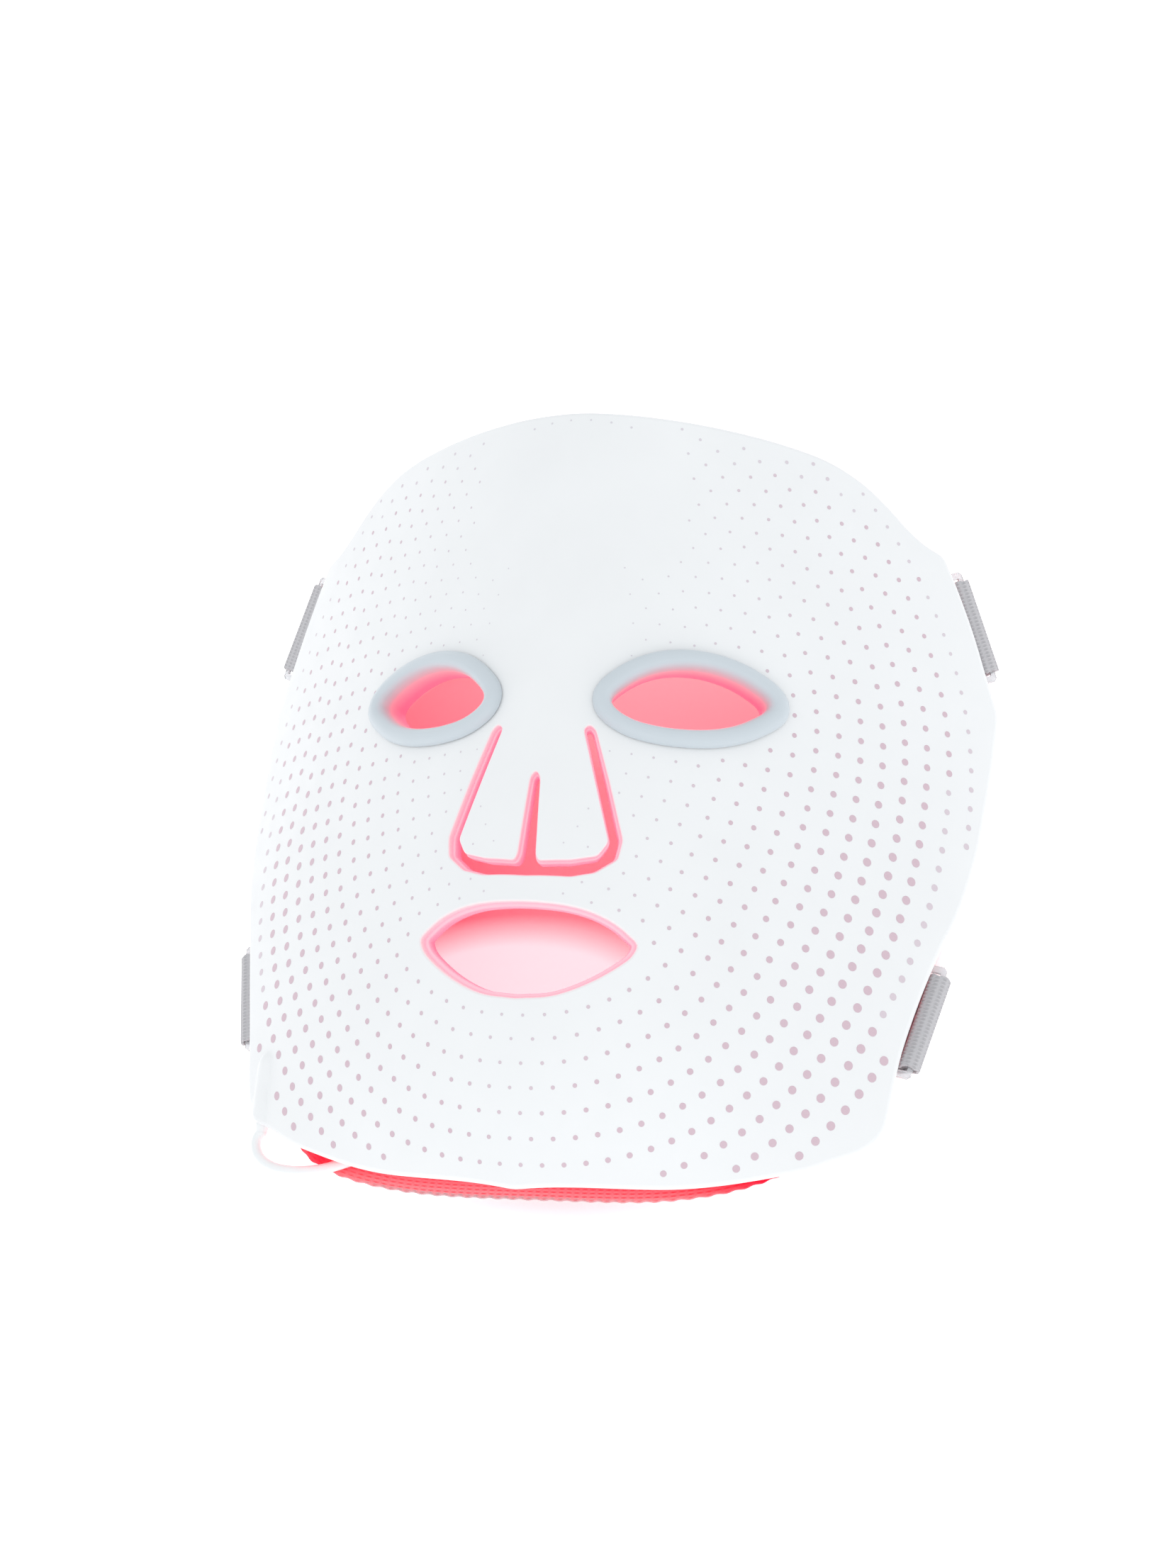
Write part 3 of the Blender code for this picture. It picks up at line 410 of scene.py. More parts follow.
CLEAR_LOOK = simple("clear_plastic", (0.86, 0.88, 0.9), 0.12, 900, 0.00001, 0.96,
                    Transmission_Weight=0.6, IOR=1.49, Coat_Weight=0.2)
HOOK_LOOK = simple("hook_tape", rgb(206, 205, 208), 0.7, 1800, 0.00012, 0.8)
LEAD_LOOK = simple("lead_jacket", rgb(236, 239, 240), 0.38, 1500, 0.00002, 0.96,
                   Coat_Weight=0.08)
TIE_LOOK = simple("tie_tape", (0.02, 0.02, 0.022), 0.75, 2200, 0.00006, 0.7, Sheen_Weight=0.3)
STEEL_LOOK = simple("plug_steel", (0.62, 0.63, 0.65), 0.24, 1600, 0.00001, 0.9, Metallic=1.0)
BLACK_LOOK = simple("black_plastic", (0.02, 0.02, 0.022), 0.35, 1600, 0.00001, 0.8)
CIRCUIT_LOOK = simple("polyimide", rgb(205, 120, 45), 0.3, 700, 0.00003, 0.8, Coat_Weight=0.3)
STRIP_LOOK = simple("led_carrier", rgb(240, 236, 228), 0.35, 900, 0.00002, 0.92)
BOARD_LOOK = simple("board_mask", rgb(30, 110, 60), 0.35, 900, 0.00002, 0.8, Coat_Weight=0.3)
BRASS_LOOK = simple("contacts", (0.85, 0.62, 0.28), 0.2, 1600, 0.00001, 0.9, Metallic=1.0)


# --- mesh helpers -------------------------------------------------------------------------------

def linked(name, data):
    """A new object in the scene."""
    made = bpy.data.objects.new(name, data)
    bpy.context.scene.collection.objects.link(made)
    return made


def reworked(mesh, change):
    """Changes a mesh through a function that works on its bmesh."""
    shape = bmesh.new()
    shape.from_mesh(mesh)
    change(shape)
    shape.to_mesh(mesh)
    shape.free()


def face_out(mesh):
    reworked(mesh, lambda shape: bmesh.ops.recalc_face_normals(shape, faces=shape.faces))


def mesh_object(name, points, faces, look, slot, body="mask", sharp=40.0, **attributes):
    """A smooth mesh that rides on a body, with values or vectors stored on its points."""
    mesh = bpy.data.meshes.new(name)
    mesh.from_pydata([tuple(p) for p in points], [], [tuple(f) for f in faces])
    for key, values in attributes.items():
        values = np.array(values, dtype=np.float32)
        if values.ndim == 1:
            layer = mesh.attributes.new(key, "FLOAT", "POINT")
            layer.data.foreach_set("value", values)
        else:
            layer = mesh.attributes.new(key, "FLOAT_VECTOR", "POINT")
            layer.data.foreach_set("vector", values.reshape(-1))
    mesh.materials.append(look)
    mesh.shade_smooth()
    mesh.set_sharp_from_angle(angle=math.radians(sharp))
    made = linked(name, mesh)
    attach(made, body)
    return made


def closed_body(rings, size):
    """Faces through this many rings of this many points, with both ends capped."""
    faces = []
    for i in range(rings - 1):
        for j in range(size):
            k = (j + 1) % size
            faces.append((i * size + j, i * size + k, (i + 1) * size + k, (i + 1) * size + j))
    return faces + [tuple(range(size))[::-1], tuple((rings - 1) * size + j for j in range(size))]


class Builder:
    """Collects points and faces of one mesh."""

    def __init__(self):
        self.points, self.faces, self.glow = [], [], []

    def add(self, points, glow=0.0):
        start = len(self.points)
        self.points.extend(points)
        self.glow.extend(np.broadcast_to(glow, len(points)))
        return np.arange(start, start + len(points))

    def strip(self, first, second, flip=False):
        """Quads between two rings with the same number of points."""
        ahead_first, ahead_second = np.roll(first, -1), np.roll(second, -1)
        for a, b, c, d in zip(first, ahead_first, ahead_second, second):
            self.faces.append((a, d, c, b) if flip else (a, b, c, d))

    def wall(self, outline, steps, flip=False, back=False):
        """Joined rings at (outward offset, depth, glow) steps of an outline.

        Gives the outline and the points of the first and of the last ring."""
        rings = []
        for offset, depth, glow in steps:
            loop = offset_loop(outline, offset) if offset else outline
            lit = glow(loop) if callable(glow) else glow
            rings.append((loop, self.add(placed(loop, depth), lit)))
        for (_, first), (_, second) in zip(rings, rings[1:] + (rings[:1] if back else [])):
            self.strip(first, second, flip)
        return rings[0], rings[-1]


def filled(builder, edges, depth, spacing, up=True, extra=None, lift=None, glow=0.0):
    """Fills the first edge less the others, where an edge is an outline and its points' numbers.

    Gives where its faces start and end."""
    loops = [loop for loop, _ in edges]
    low, high = loops[0].min(axis=0), loops[0].max(axis=0)
    xs = np.arange(low[0], high[0], spacing)
    ys = np.arange(low[1], high[1], spacing * 0.866)
    grid = np.array([(x + (spacing / 2 if j % 2 else 0), y) for j, y in enumerate(ys) for x in xs])
    if extra is not None:
        grid = np.vstack([grid, extra])
    keep = between(grid, loops)
    for loop in loops:
        keep[keep] = distance_to(grid[keep], loop) > spacing * 0.42
    grid = grid[keep]
    plan = np.vstack([*loops, grid])
    borders = []
    start = 0
    for loop in loops:
        count = len(loop)
        borders += [(start + k, start + (k + 1) % count) for k in range(count)]
        start += count
    verts, _, tris, origins, _, _ = geometry.delaunay_2d_cdt(
        [Vector(p) for p in plan], borders, [], 0, 1e-5)
    rise = lift(grid) if lift is not None else 0.0
    inner = builder.add(placed(grid, depth + rise), glow)
    known = np.concatenate([*(ring for _, ring in edges), inner])
    index = [known[o[0]] if o else None for o in origins]
    flat = np.array([(v.x, v.y) for v in verts])
    middles = np.array([flat[list(t)].mean(axis=0) for t in tris])
    first = len(builder.faces)
    for tri, ok in zip(tris, between(middles, loops)):
        if not ok or any(index[k] is None for k in tri):
            continue
        a, b, c = (index[k] for k in tri)
        p, q, r = (flat[k] for k in tri)
        turn = (q[0] - p[0]) * (r[1] - p[1]) - (r[0] - p[0]) * (q[1] - p[1])
        if abs(turn) < 1e-9:
            continue
        builder.faces.append((a, b, c) if (turn > 0) == up else (a, c, b))
    return first, len(builder.faces)


# --- outlines -----------------------------------------------------------------------------------

OUTLINE = softened(resampled(mirrored_loop(from_runs(OUTLINE_RUNS, 12)), 1.1), 2)
EYE_LOOP = softened(resampled(closed_smooth(EYE, 12), 0.7), 3)
NOSE = softened(resampled(mirrored_loop(NOSE_SLIT), 0.45), 4)
MOUTH = softened(resampled(mirrored_loop(from_runs(MOUTH_RUNS, 12)), 0.7), 3)
BLOCK_LOOP = resampled(mirrored_loop(smooth(BLOCK, 8)), 1.0)
EYES = [EYE_LOOP, (EYE_LOOP * (-1, 1))[::-1]]

# --- skin ---------------------------------------------------------------------------------------

RIDGE_RADIUS = 2.9             # the moulded ridge over the lead's gland
RIDGE_REACH = 4.5
RIDGE_BLEND = 0.55
RIDGE_SQUEEZE = 0.82
GLAND_DEPTH = -1.45            # the gland's middle, under the outer surface
FLAT = 1e-4

RIM_TOP, RIM_FOOT = 1.1, 0.9   # the rim's rounding over the edge, and under it
EYE_SEAT = ((0.4, 0.0), (0.12, -0.12), (0.0, -0.4), (0.0, -WALL + 0.3), (0.3, -WALL),
            (EYE_ISLAND - SLEEVE - GAP, -WALL), (EYE_ISLAND - SLEEVE - GAP, -SKIN))
HOLES = ((NOSE, 0.35, 0.55), (MOUTH, 0.5, 0.9))     # outline, lip's rounding, ledge's width
HOLE_GLOW = (0.0, 0.05, 0.25, 0.55, 0.5, 0.7, 1.0, 1.0)
BLOCK_GLOW, CEILING_GLOW = 0.8, 0.6


def side_ridge(plan):
    """Height of the moulded ridge over the lead's gland."""
    start, end = np.array(ENTRY_START), np.array(ENTRY_END)
    along = (end - start) / np.linalg.norm(end - start)
    gap = plan - start
    across = (gap[:, 0] * along[1] - gap[:, 1] * along[0]) / RIDGE_SQUEEZE
    before = np.minimum(gap @ along - 1.0, 0.0)
    reach = np.hypot(across, before)
    rise = np.sqrt(np.maximum(RIDGE_RADIUS ** 2 - reach ** 2, 0.0)) + GLAND_DEPTH
    soft = np.log1p(np.exp(np.clip(rise / RIDGE_BLEND, -30, 30))) * RIDGE_BLEND
    return np.where(reach < RIDGE_REACH, soft * np.clip((RIDGE_REACH - reach) / 2, 0, 1), 0.0)


def build_rim(shell):
    """The outer rim: rounded over, down the edge, rounded under, to the liner's pocket."""
    quarter = [(math.sin(t), math.cos(t)) for t in np.linspace(0, math.pi / 2, 5)]
    profile = [(-RIM_TOP + RIM_TOP * s, -RIM_TOP + RIM_TOP * c) for s, c in quarter]
    profile += [(-RIM_FOOT + RIM_FOOT * c, -WALL + RIM_FOOT - RIM_FOOT * s) for s, c in quarter]
    profile += [(-RIM_WIDTH + 0.3, -WALL), (-RIM_WIDTH, -WALL + 0.3), (-RIM_WIDTH, -SKIN)]
    rings = []
    for offset, depth in profile:
        loop = offset_loop(OUTLINE, offset) if offset else OUTLINE
        rise = side_ridge(loop) if depth > -1.2 else 0.0
        glow = 0.0 if depth > -WALL + 0.5 else 0.25
        rings.append((loop, shell.add(placed(loop, depth + rise), glow)))
    for (_, first), (_, second) in zip(rings, rings[1:]):
        shell.strip(first, second, flip=True)
    return rings[0], rings[-1]


def build_skin():
    """The outer skin: its top, rim, holes with their seats and lips, and its underside."""
    shell = Builder()
    top, ceiling = ([edge] for edge in build_rim(shell))
    for eye in EYES:
        steps = [(offset, depth, min(1.0, -depth / 3)) for offset, depth in EYE_SEAT]
        upper, lower = shell.wall(offset_loop(eye, SLEEVE + GAP), steps)
        top.append(upper)
        ceiling.append(lower)
    # Nose slit and mouth: a rounded lip, a ledge of the inner layer, then the wall
    block = []
    for hole, lip, ledge in HOLES:
        steps = ((lip, 0.0), (lip * 0.3, -lip * 0.3), (0.0, -lip), (0.0, -1.7),
                 (-ledge * 0.75, -1.8), (-ledge, -2.1), (-ledge, -WALL + 0.25),
                 (-ledge + 0.25, -WALL))
        upper, lower = shell.wall(hole, [(*step, glow) for step, glow in zip(steps, HOLE_GLOW)])
        top.append(upper)
        block.append(lower)
    fine = np.array([(x, y) for x in np.arange(-83, -66, 0.75) for y in np.arange(-80, -52, 0.75)])
    ridge = fine[side_ridge(fine) > FLAT]
    span = filled(shell, top, 0.0, 2.4, extra=ridge, lift=side_ridge)
    # Block round the nose and mouth, down to the liner's level
    foot, head = shell.wall(BLOCK_LOOP, [(0, -WALL, BLOCK_GLOW), (0, -SKIN, BLOCK_GLOW)],
                            flip=True)
    filled(shell, [foot, *block], -WALL, 3.0, up=False, glow=BLOCK_GLOW)
    filled(shell, [*ceiling, head], -SKIN, 4.0, up=False, glow=CEILING_GLOW)
    made = mesh_object("mask_skin", shell.points, shell.faces, SHELL_LOOK, "white_silicone",
                       sharp=50.0, glow=shell.glow)
    set_normals(made.data, span)
    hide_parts("outer_shell")


def set_normals(mesh, span):
    """Gives the top faces the surface's own normals, away from the ridge."""
    custom = np.zeros((len(mesh.loops), 3), dtype=np.float32)
    places = np.zeros(len(mesh.vertices) * 3)
    mesh.vertices.foreach_get("co", places)
    plan = places.reshape(-1, 3)[:, :2] / MM - (0, SHIFT_Y)
    surface = normals(plan)
    flat = side_ridge(plan) < FLAT
    for face in mesh.polygons[span[0]:span[1]]:
        for loop in face.loop_indices:
            vertex = mesh.loops[loop].vertex_index
            if flat[vertex]:
                custom[loop] = surface[vertex]
    mesh.normals_split_custom_set([tuple(n) for n in custom])


# --- dot print ----------------------------------------------------------------------------------

OVAL_CENTRE_Y = 15.0
OVAL_POWER = 2.15              # a little squarer than an ellipse
OVAL_STEPS = 1440
OUTER_OVAL = (84.5, 111.0, 87.0)    # from its centre to the side, the chin and the forehead
RING_GAPS = (4.8, 5.0, 5.0)
DOT_PITCH = 5.15
DOT_MOST, DOT_LEAST = 2.3, 0.42
DOT_SIDES = 14
DOT_LIFT = 0.02                # the ink's height over the skin
BARE_HALF, BARE_FROM, BARE_TO = 26, 52, 86          # the forehead's plain field


def print_ring(ring):
    """One oval of the print, from the chin round."""
    side, bottom, top = (most - gap * ring for most, gap in zip(OUTER_OVAL, RING_GAPS))
    angles = np.linspace(0, 2 * math.pi, OVAL_STEPS + 1)[:-1]
    power = 2 / OVAL_POWER
    cosines, sines = np.cos(angles), np.sin(angles)
    x = side * np.sign(cosines) * np.abs(cosines) ** power
    y = np.where(sines > 0, top, bottom) * np.sign(sines) * np.abs(sines) ** power
    loop = np.stack([x, OVAL_CENTRE_Y + y], axis=1)
    return np.roll(loop, OVAL_STEPS // 4 + 1, axis=0)


def build_print():
    """Rings of small dots, larger at the lower sides and fading to the middle and the forehead."""
    ink = Builder()
    tones = []
    for ring in range(-2, 17):
        loop = print_ring(ring)
        travelled = travel(closed(placed(loop, 0.0) / MM))
        count = 2 * round(travelled[-1] / DOT_PITCH / 2)
        at = (np.arange(count) + (0.5 if ring % 2 else 0.0)) * travelled[-1] / count
        dots = sampled(closed(loop), travelled, at)
        for place in dots[inside(dots, OUTLINE)]:
            diameter, tone = dot_size(place, ring)
            if diameter:
                add_dot(ink, place, diameter)
                tones.extend([tone] * (DOT_SIDES + 1))
    made = mesh_object("dot_print", ink.points, ink.faces, DOT_LOOK, "white_silicone", tone=tones)
    plan = np.array([p[:2] for p in ink.points]) / MM - (0, SHIFT_Y)
    made.data.normals_split_custom_set_from_vertices([tuple(n) for n in normals(plan)])


def dot_size(place, ring):
    """A dot's diameter, 0 where it has no room, and its ink tone: fainter where a dot is small, and
    paler by the side edges as a painted highlight.
    """
    x, y = place
    edge = distance_to(place, OUTLINE)[0]
    by_side = y > -45 and edge < 9
    side = min(1.0, abs(x) / 76)
    inner = np.clip(1.08 - 0.05 * max(ring, 0), 0.3, 1.0)
    up = 1.0 - 0.46 * np.clip((y + 5) / 62, 0, 1)
    diameter = DOT_MOST * ((0.42 + 0.58 * side) * inner * up)
    if by_side and abs(x) > 60:
        diameter *= 0.8
    holes = (NOSE, MOUTH, *EYES)
    room = min(distance_to(place, loop)[0] for loop in holes)
    blocked = (
        diameter < DOT_LEAST
        or edge < 2.0 + diameter / 2
        or any(inside(place, loop)[0] for loop in holes)
        or room < diameter / 2 + 1.2
        or min(distance_to(place, loop)[0] for loop in EYES) < 5.2
        or (abs(x) < BARE_HALF and BARE_FROM < y < BARE_TO)
        or side_ridge(np.array([place]))[0] > FLAT
        or math.dist(place, ENTRY_END) < 6
    )
    # Painted highlight: dots by the side edges get paler ink, as if washed out by light.
    tone = np.clip((diameter - 0.1) / 1.1, 0, 1) * (0.6 if by_side else 1.0)
    return (0.0 if blocked else diameter), tone


def add_dot(ink, place, diameter):
    """A thin disc that lies on the curved skin."""
    dip = normals(np.array([place]))[0]
    across = Vector((dip[1], -dip[0], 0))
    across = across.normalized() if across.length > 1e-3 else Vector((1, 0, 0))
    down = Vector(dip).cross(across)
    rim = []
    for k in range(DOT_SIDES):
        turn = 2 * math.pi * k / DOT_SIDES
        spot = across * math.cos(turn) + down * math.sin(turn)
        rim.append((place[0] + spot.x * diameter / 2, place[1] + spot.y * diameter / 2))
    ring = ink.add(placed(rim, DOT_LIFT))
    middle = ink.add(placed([place], DOT_LIFT + 0.005))[0]
    for a, b in zip(ring, np.roll(ring, -1)):
        ink.faces.append((a, b, middle))


def dot_look():
    """Muted pink ink, paler where a dot is small, and paler by the side edges as a painted
    highlight.
    """
    look = Look("dot_ink", rgb(205, 184, 194), 0.4, Specular_IOR_Level=0.4)
    base = look.mix(look.attribute("tone")["Fac"], rgb(214, 219, 224), rgb(203, 178, 189))
    speck = look.ramp(look.noise(5200.0, 2.0), 0.0, 0.22)
    look.to("Base Color", look.mix(speck, base, rgb(226, 214, 220)))
    look.bump(look.noise(2600.0), 0.00002, 0.3)
    return look.made


DOT_LOOK = dot_look()


# --- liner and LEDs -----------------------------------------------------------------------------

LED_PITCH = 15.0
LED_ROWS = 12
FIRST_ROW_Y = -82.0
LED_EDGE = 3.4                 # least room from an LED to the circuit's edge
BOARD_AT, BOARD_ROOM = (-69.0, -52.5), 9.5
LED_SPREAD = 4.5               # how far an LED's light shows in the liner
LINER_TOP = -3.3
LINER_EDGE = ((0.0, LINER_TOP), (0.0, -WALL + 0.35), (-0.1, -WALL + 0.1), (-0.35, -WALL))
# Rings of a window over an LED: radius, height over the liner's face, glow
WINDOW = ((2.3, 0.25, 0.0), (2.2, -0.12, 0.1), (1.9, -0.3, 0.3), (1.2, -0.42, 0.8))
WINDOW_TIP = -0.46


def row_places(y, step=0.5):
    """Evenly spaced X places along one row, measured on the curved surface."""
    half, travelled, x = [], 0.0, 0.0
    while x < 103:
        if travelled >= len(half) * LED_PITCH:
            half.append(x)
        slope = (height(x + step, y) - height(x, y)) / step
        travelled += step * math.hypot(1.0, slope)
        x += step
    return [-v for v in half[:0:-1]] + half


def led_places():
    """Plan places of the LEDs, row by row, clear of the circuit's edges."""
    island = offset_loop(EYE_LOOP, EYE_ISLAND + 0.6)
    edges = [offset_loop(OUTLINE, -RIM_WIDTH - 1.5), island, island * (-1, 1),
             offset_loop(BLOCK_LOOP, 0.6)]
    found = []
    for row in range(LED_ROWS):
        y = FIRST_ROW_Y + row * LED_PITCH
        for x in row_places(y):
            place = np.array([(x, y)])
            room = min(distance_to(place, edge)[0] for edge in edges)
            if (between(place, edges)[0] and room >= LED_EDGE
                    and math.dist((x, y), BOARD_AT) > BOARD_ROOM):
                found.append((x, y))
    return np.array(found)


LEDS = led_places()


def led_glow(plan):
    """How strongly each place is lit by its nearest LED, from 0 to 1."""
    base = np.column_stack([plan, height(plan[:, 0], plan[:, 1])])
    lamps = np.column_stack([LEDS, height(LEDS[:, 0], LEDS[:, 1])])
    gap = np.sqrt(np.min(np.sum((base[:, None] - lamps[None]) ** 2, axis=2), axis=1))
    return np.exp(-(gap / LED_SPREAD) ** 2)


def build_liner():
    """The inner liner with its turned edges, and a window over each LED."""
    liner = Builder()
    outlines = [(offset_loop(OUTLINE, -RIM_WIDTH - GAP), 1)]
    outlines += [(offset_loop(eye, EYE_ISLAND + GAP), -1) for eye in EYES]
    outlines.append((offset_loop(BLOCK_LOOP, GAP), -1))
    top, bottom = [], []
    for outline, sign in outlines:
        steps = [(offset * sign, depth, led_glow) for offset, depth in LINER_EDGE]
        upper, lower = liner.wall(outline, steps, flip=sign > 0)
        top.append(upper)
        bottom.append(lower)
    filled(liner, top, LINER_TOP, 5.0)
    start = len(liner.points)
    filled(liner, bottom, -WALL, 2.6, up=False)
    plan = np.array(liner.points[start:])[:, :2] / MM - (0, SHIFT_Y)
    liner.glow[start:] = list(led_glow(plan))
    made = mesh_object("liner", liner.points, liner.faces, liner_look(), "clear_silicone",
                       glow=liner.glow)
    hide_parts("inner_liner")
    lamps = Builder()
    for place in LEDS:
        add_lens(lamps, place)
    mesh_object("led_windows", lamps.points, lamps.faces, lens_look(), "led_lens", glow=lamps.glow)


def add_lens(lamps, place):
    """A shallow round window in the liner, under one LED."""
    dip = normals(np.array([place]))[0]
    stretch = np.array([dip[2], 1.0])
    rings = []
    turn = np.linspace(0, 2 * math.pi, 21)[:-1]
    for radius, rise, glow in WINDOW:
        loop = place + np.stack([np.cos(turn), np.sin(turn)], axis=1) * radius * stretch
        rings.append(lamps.add(placed(loop, -WALL + rise), glow))
    for first, second in zip(rings, rings[1:]):
        lamps.strip(first, second, flip=True)
    tip = lamps.add(placed([place], -WALL + WINDOW_TIP), 1.0)[0]
    for a, b in zip(rings[-1], np.roll(rings[-1], -1)):
        lamps.faces.append((a, tip, b))


# --- eye surrounds ------------------------------------------------------------------------------

# A surround's section: outward from the eye opening, height over the skin
SURROUND = ((0.35, -6.6), (0.15, -5.0), (0.0, -3.0), (0.0, -0.6), (0.1, 0.9), (0.45, 1.8),
            (1.0, 2.45), (1.9, 2.75), (3.0, 2.6), (3.8, 2.15), (4.3, 1.5), (4.5, 0.8),
            (4.45, 0.32), (3.2, 0.3), (1.5, 0.3), (1.2, 0.0), (1.2, -2.0), (1.2, -6.4), (1.0, -6.6))


def build_surround(eye, name):
    """A raised surround that lines one eye hole, its inner end lit from inside."""
    made = Builder()
    steps = [(offset, rise, np.clip((-0.2 - rise) / 4.5, 0, 1)) for offset, rise in SURROUND]
    made.wall(eye, steps, back=True)
    item = mesh_object(name + "_ring", made.points, made.faces, SURROUND_LOOK,
                       "surround_silicone", body=name, glow=made.glow, sharp=60)
    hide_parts(name)


# --- straps -------------------------------------------------------------------------------------

BAND_STEP = 0.62
SCALLOP_PITCH = 3.8
# A band's section from one edge to the other: share of the half width, and of the thickness
UNDERSIDE = ((-1.0, 0.18), (-0.985, 0.02), (-0.93, 0.0), (-0.6, 0.0), (0.0, 0.0), (0.6, 0.0),
             (0.93, 0.0), (0.985, 0.02), (1.0, 0.18))
SECTION = [(-1.0, 0.5), *UNDERSIDE, (1.0, 0.5), *((-across, 1 - rise) for across, rise in UNDERSIDE)]


def band(name, node, points, widths, body, width, thickness, side_up, look, slot, scallop=0.0,
         lit=None):
    """A woven band on a smooth path, with rounded scalloped edges and knit coordinates."""
    path = smooth(points, 6)
    spread = smooth(widths, 6)
    spread /= np.linalg.norm(spread, axis=1)[:, None]
    travelled = travel(path)
    count = max(12, round(travelled[-1] / BAND_STEP))
    at = np.linspace(0, travelled[-1], count)
    path, spread = sampled(path, travelled, at), sampled(spread, travelled, at)
    along = np.gradient(path, axis=0)
    along /= np.linalg.norm(along, axis=1)[:, None]
    up = np.cross(along, spread) * side_up
    up /= np.linalg.norm(up, axis=1)[:, None]
    half = width / 2
    points, knit, glow = [], [], []
    for i in range(count):
        wave = scallop * math.sin(2 * math.pi * at[i] / SCALLOP_PITCH)
        for across, rise in SECTION:
            reach = across * (half + (wave - scallop if abs(across) > 0.9 else 0.0))
            spot = path[i] + spread[i] * reach + up[i] * thickness * rise
            points.append((spot + (0, SHIFT_Y, 0)) * MM)
            knit.append((at[i], reach, 0.0))
            glow.append(lit(spot) if lit else 0.0)
    made = mesh_object(name, points, closed_body(count, len(SECTION)), look, slot, body=body,
                       glow=glow, band=knit, sharp=70)
    face_out(made.data)
    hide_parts(node)
    return made


def unit(vector):
    return vector / np.linalg.norm(vector)


def on_wall(x, y, depth):
    """Design-frame point in millimetres, this far above the outer surface."""
    return placed([(x, y)], depth)[0] / MM - (0, SHIFT_Y, 0)


STRAP_WIDTH = 25.0
STRAP = 0.9
PATCH = 0.7
SCALLOP = 0.18
SLOT_Y = {"upper": 66.0, "lower": -39.5}            # each slot's middle
SLOT_HALF = 12.5
RIM_LEVEL = {"upper": 3.9, "lower": 3.7}            # the rim's foot over the loop's base line
SLOT_TILT = 0.87               # an upper slot tilts a little less than the rim
REACH = {("upper", 1): 0.0, ("upper", -1): 4.4}     # how much farther out a loop bulges
REACH_FROM = 3.0
# A strap's loop through its slot: outward, up
LOOP = ((1.1, 2.15), (1.45, 2.6), (1.5, 3.3), (1.75, 3.95), (2.5, 4.4), (3.7, 4.5), (5.1, 4.35),
        (6.2, 3.5), (6.7, 2.25), (6.2, 1.0), (5.0, 0.2))
UPPER_RIGHT = (((86.0, 66.2, 5.9), None), ((81.0, 67.8, 3.9), (0.0, -0.97, -0.25)),
               ((74.5, 70.2, 1.7), (-0.25, -0.96, -0.1)),
               ((67.0, 73.2, 0.3), (-0.35, -0.94)), ((59.0, 76.5, 0.0), (-0.36, -0.93)),
               ((50.0, 78.6, 0.0), (-0.22, -0.975)), ((38.0, 79.6, 0.0), (-0.08, -1.0)),
               ((20.0, 79.8, 0.0), (-0.02, -1.0)), ((0.0, 79.8, 0.0), (0.0, -1.0)))
LOWER_RIGHT = (((80.3, -41.0, 0.0), None), ((74.0, -46.5, 0.0), (0.0, -1.0)),
               ((66.5, -56.0, 0.0), (0.35, -0.94)), ((51.0, -68.6, 0.0), (0.4, -0.92)),
               ((30.0, -75.0, 0.0), (0.12, -0.99)), ((0.0, -76.6, 0.0), (0.0, -1.0)))
LOWER_LEFT = (((80.3, -41.5, 0.0), None), ((73.5, -48.0, 0.0), (0.0, -1.0)),
              ((64.5, -60.0, 0.0), (0.42, -0.91)), ((56.0, -71.5, 0.0), (0.45, -0.89)),
              ((35.0, -76.6, 0.0), (0.1, -0.99)), ((0.0, -76.6, 0.0), (0.0, -1.0)))
TAB_PATHS = {
    "upper": (((82.6, 67.2, 8.55), None), ((76.5, 69.5, 5.6), (-0.15, -0.97, -0.12)),
              ((69.0, 72.4, 3.7), (-0.32, -0.94, -0.02)), ((60.0, 76.1, 3.0), (-0.38, -0.92)),
              ((52.0, 78.9, 2.9), (-0.34, -0.94)), ((47.0, 80.3, 2.9), (-0.28, -0.96))),
    "lower_right": (((72.4, -47.8, 2.1), None), ((69.7, -51.0, 2.5), (-0.02, -1.0)),
                    ((65.8, -56.0, 3.05), (0.2, -0.98)), ((60.5, -61.6, 3.15), (0.38, -0.92)),
                    ((54.5, -66.4, 3.15), (0.42, -0.91))),
    "lower_left": (((72.1, -49.3, 2.1), None), ((69.7, -52.4, 2.5), (0.0, -1.0)),
                   ((65.6, -57.8, 3.05), (0.12, -0.99)), ((61.8, -62.8, 3.15), (0.34, -0.94)),
                   ((59.0, -67.4, 3.15), (0.46, -0.89))),
}


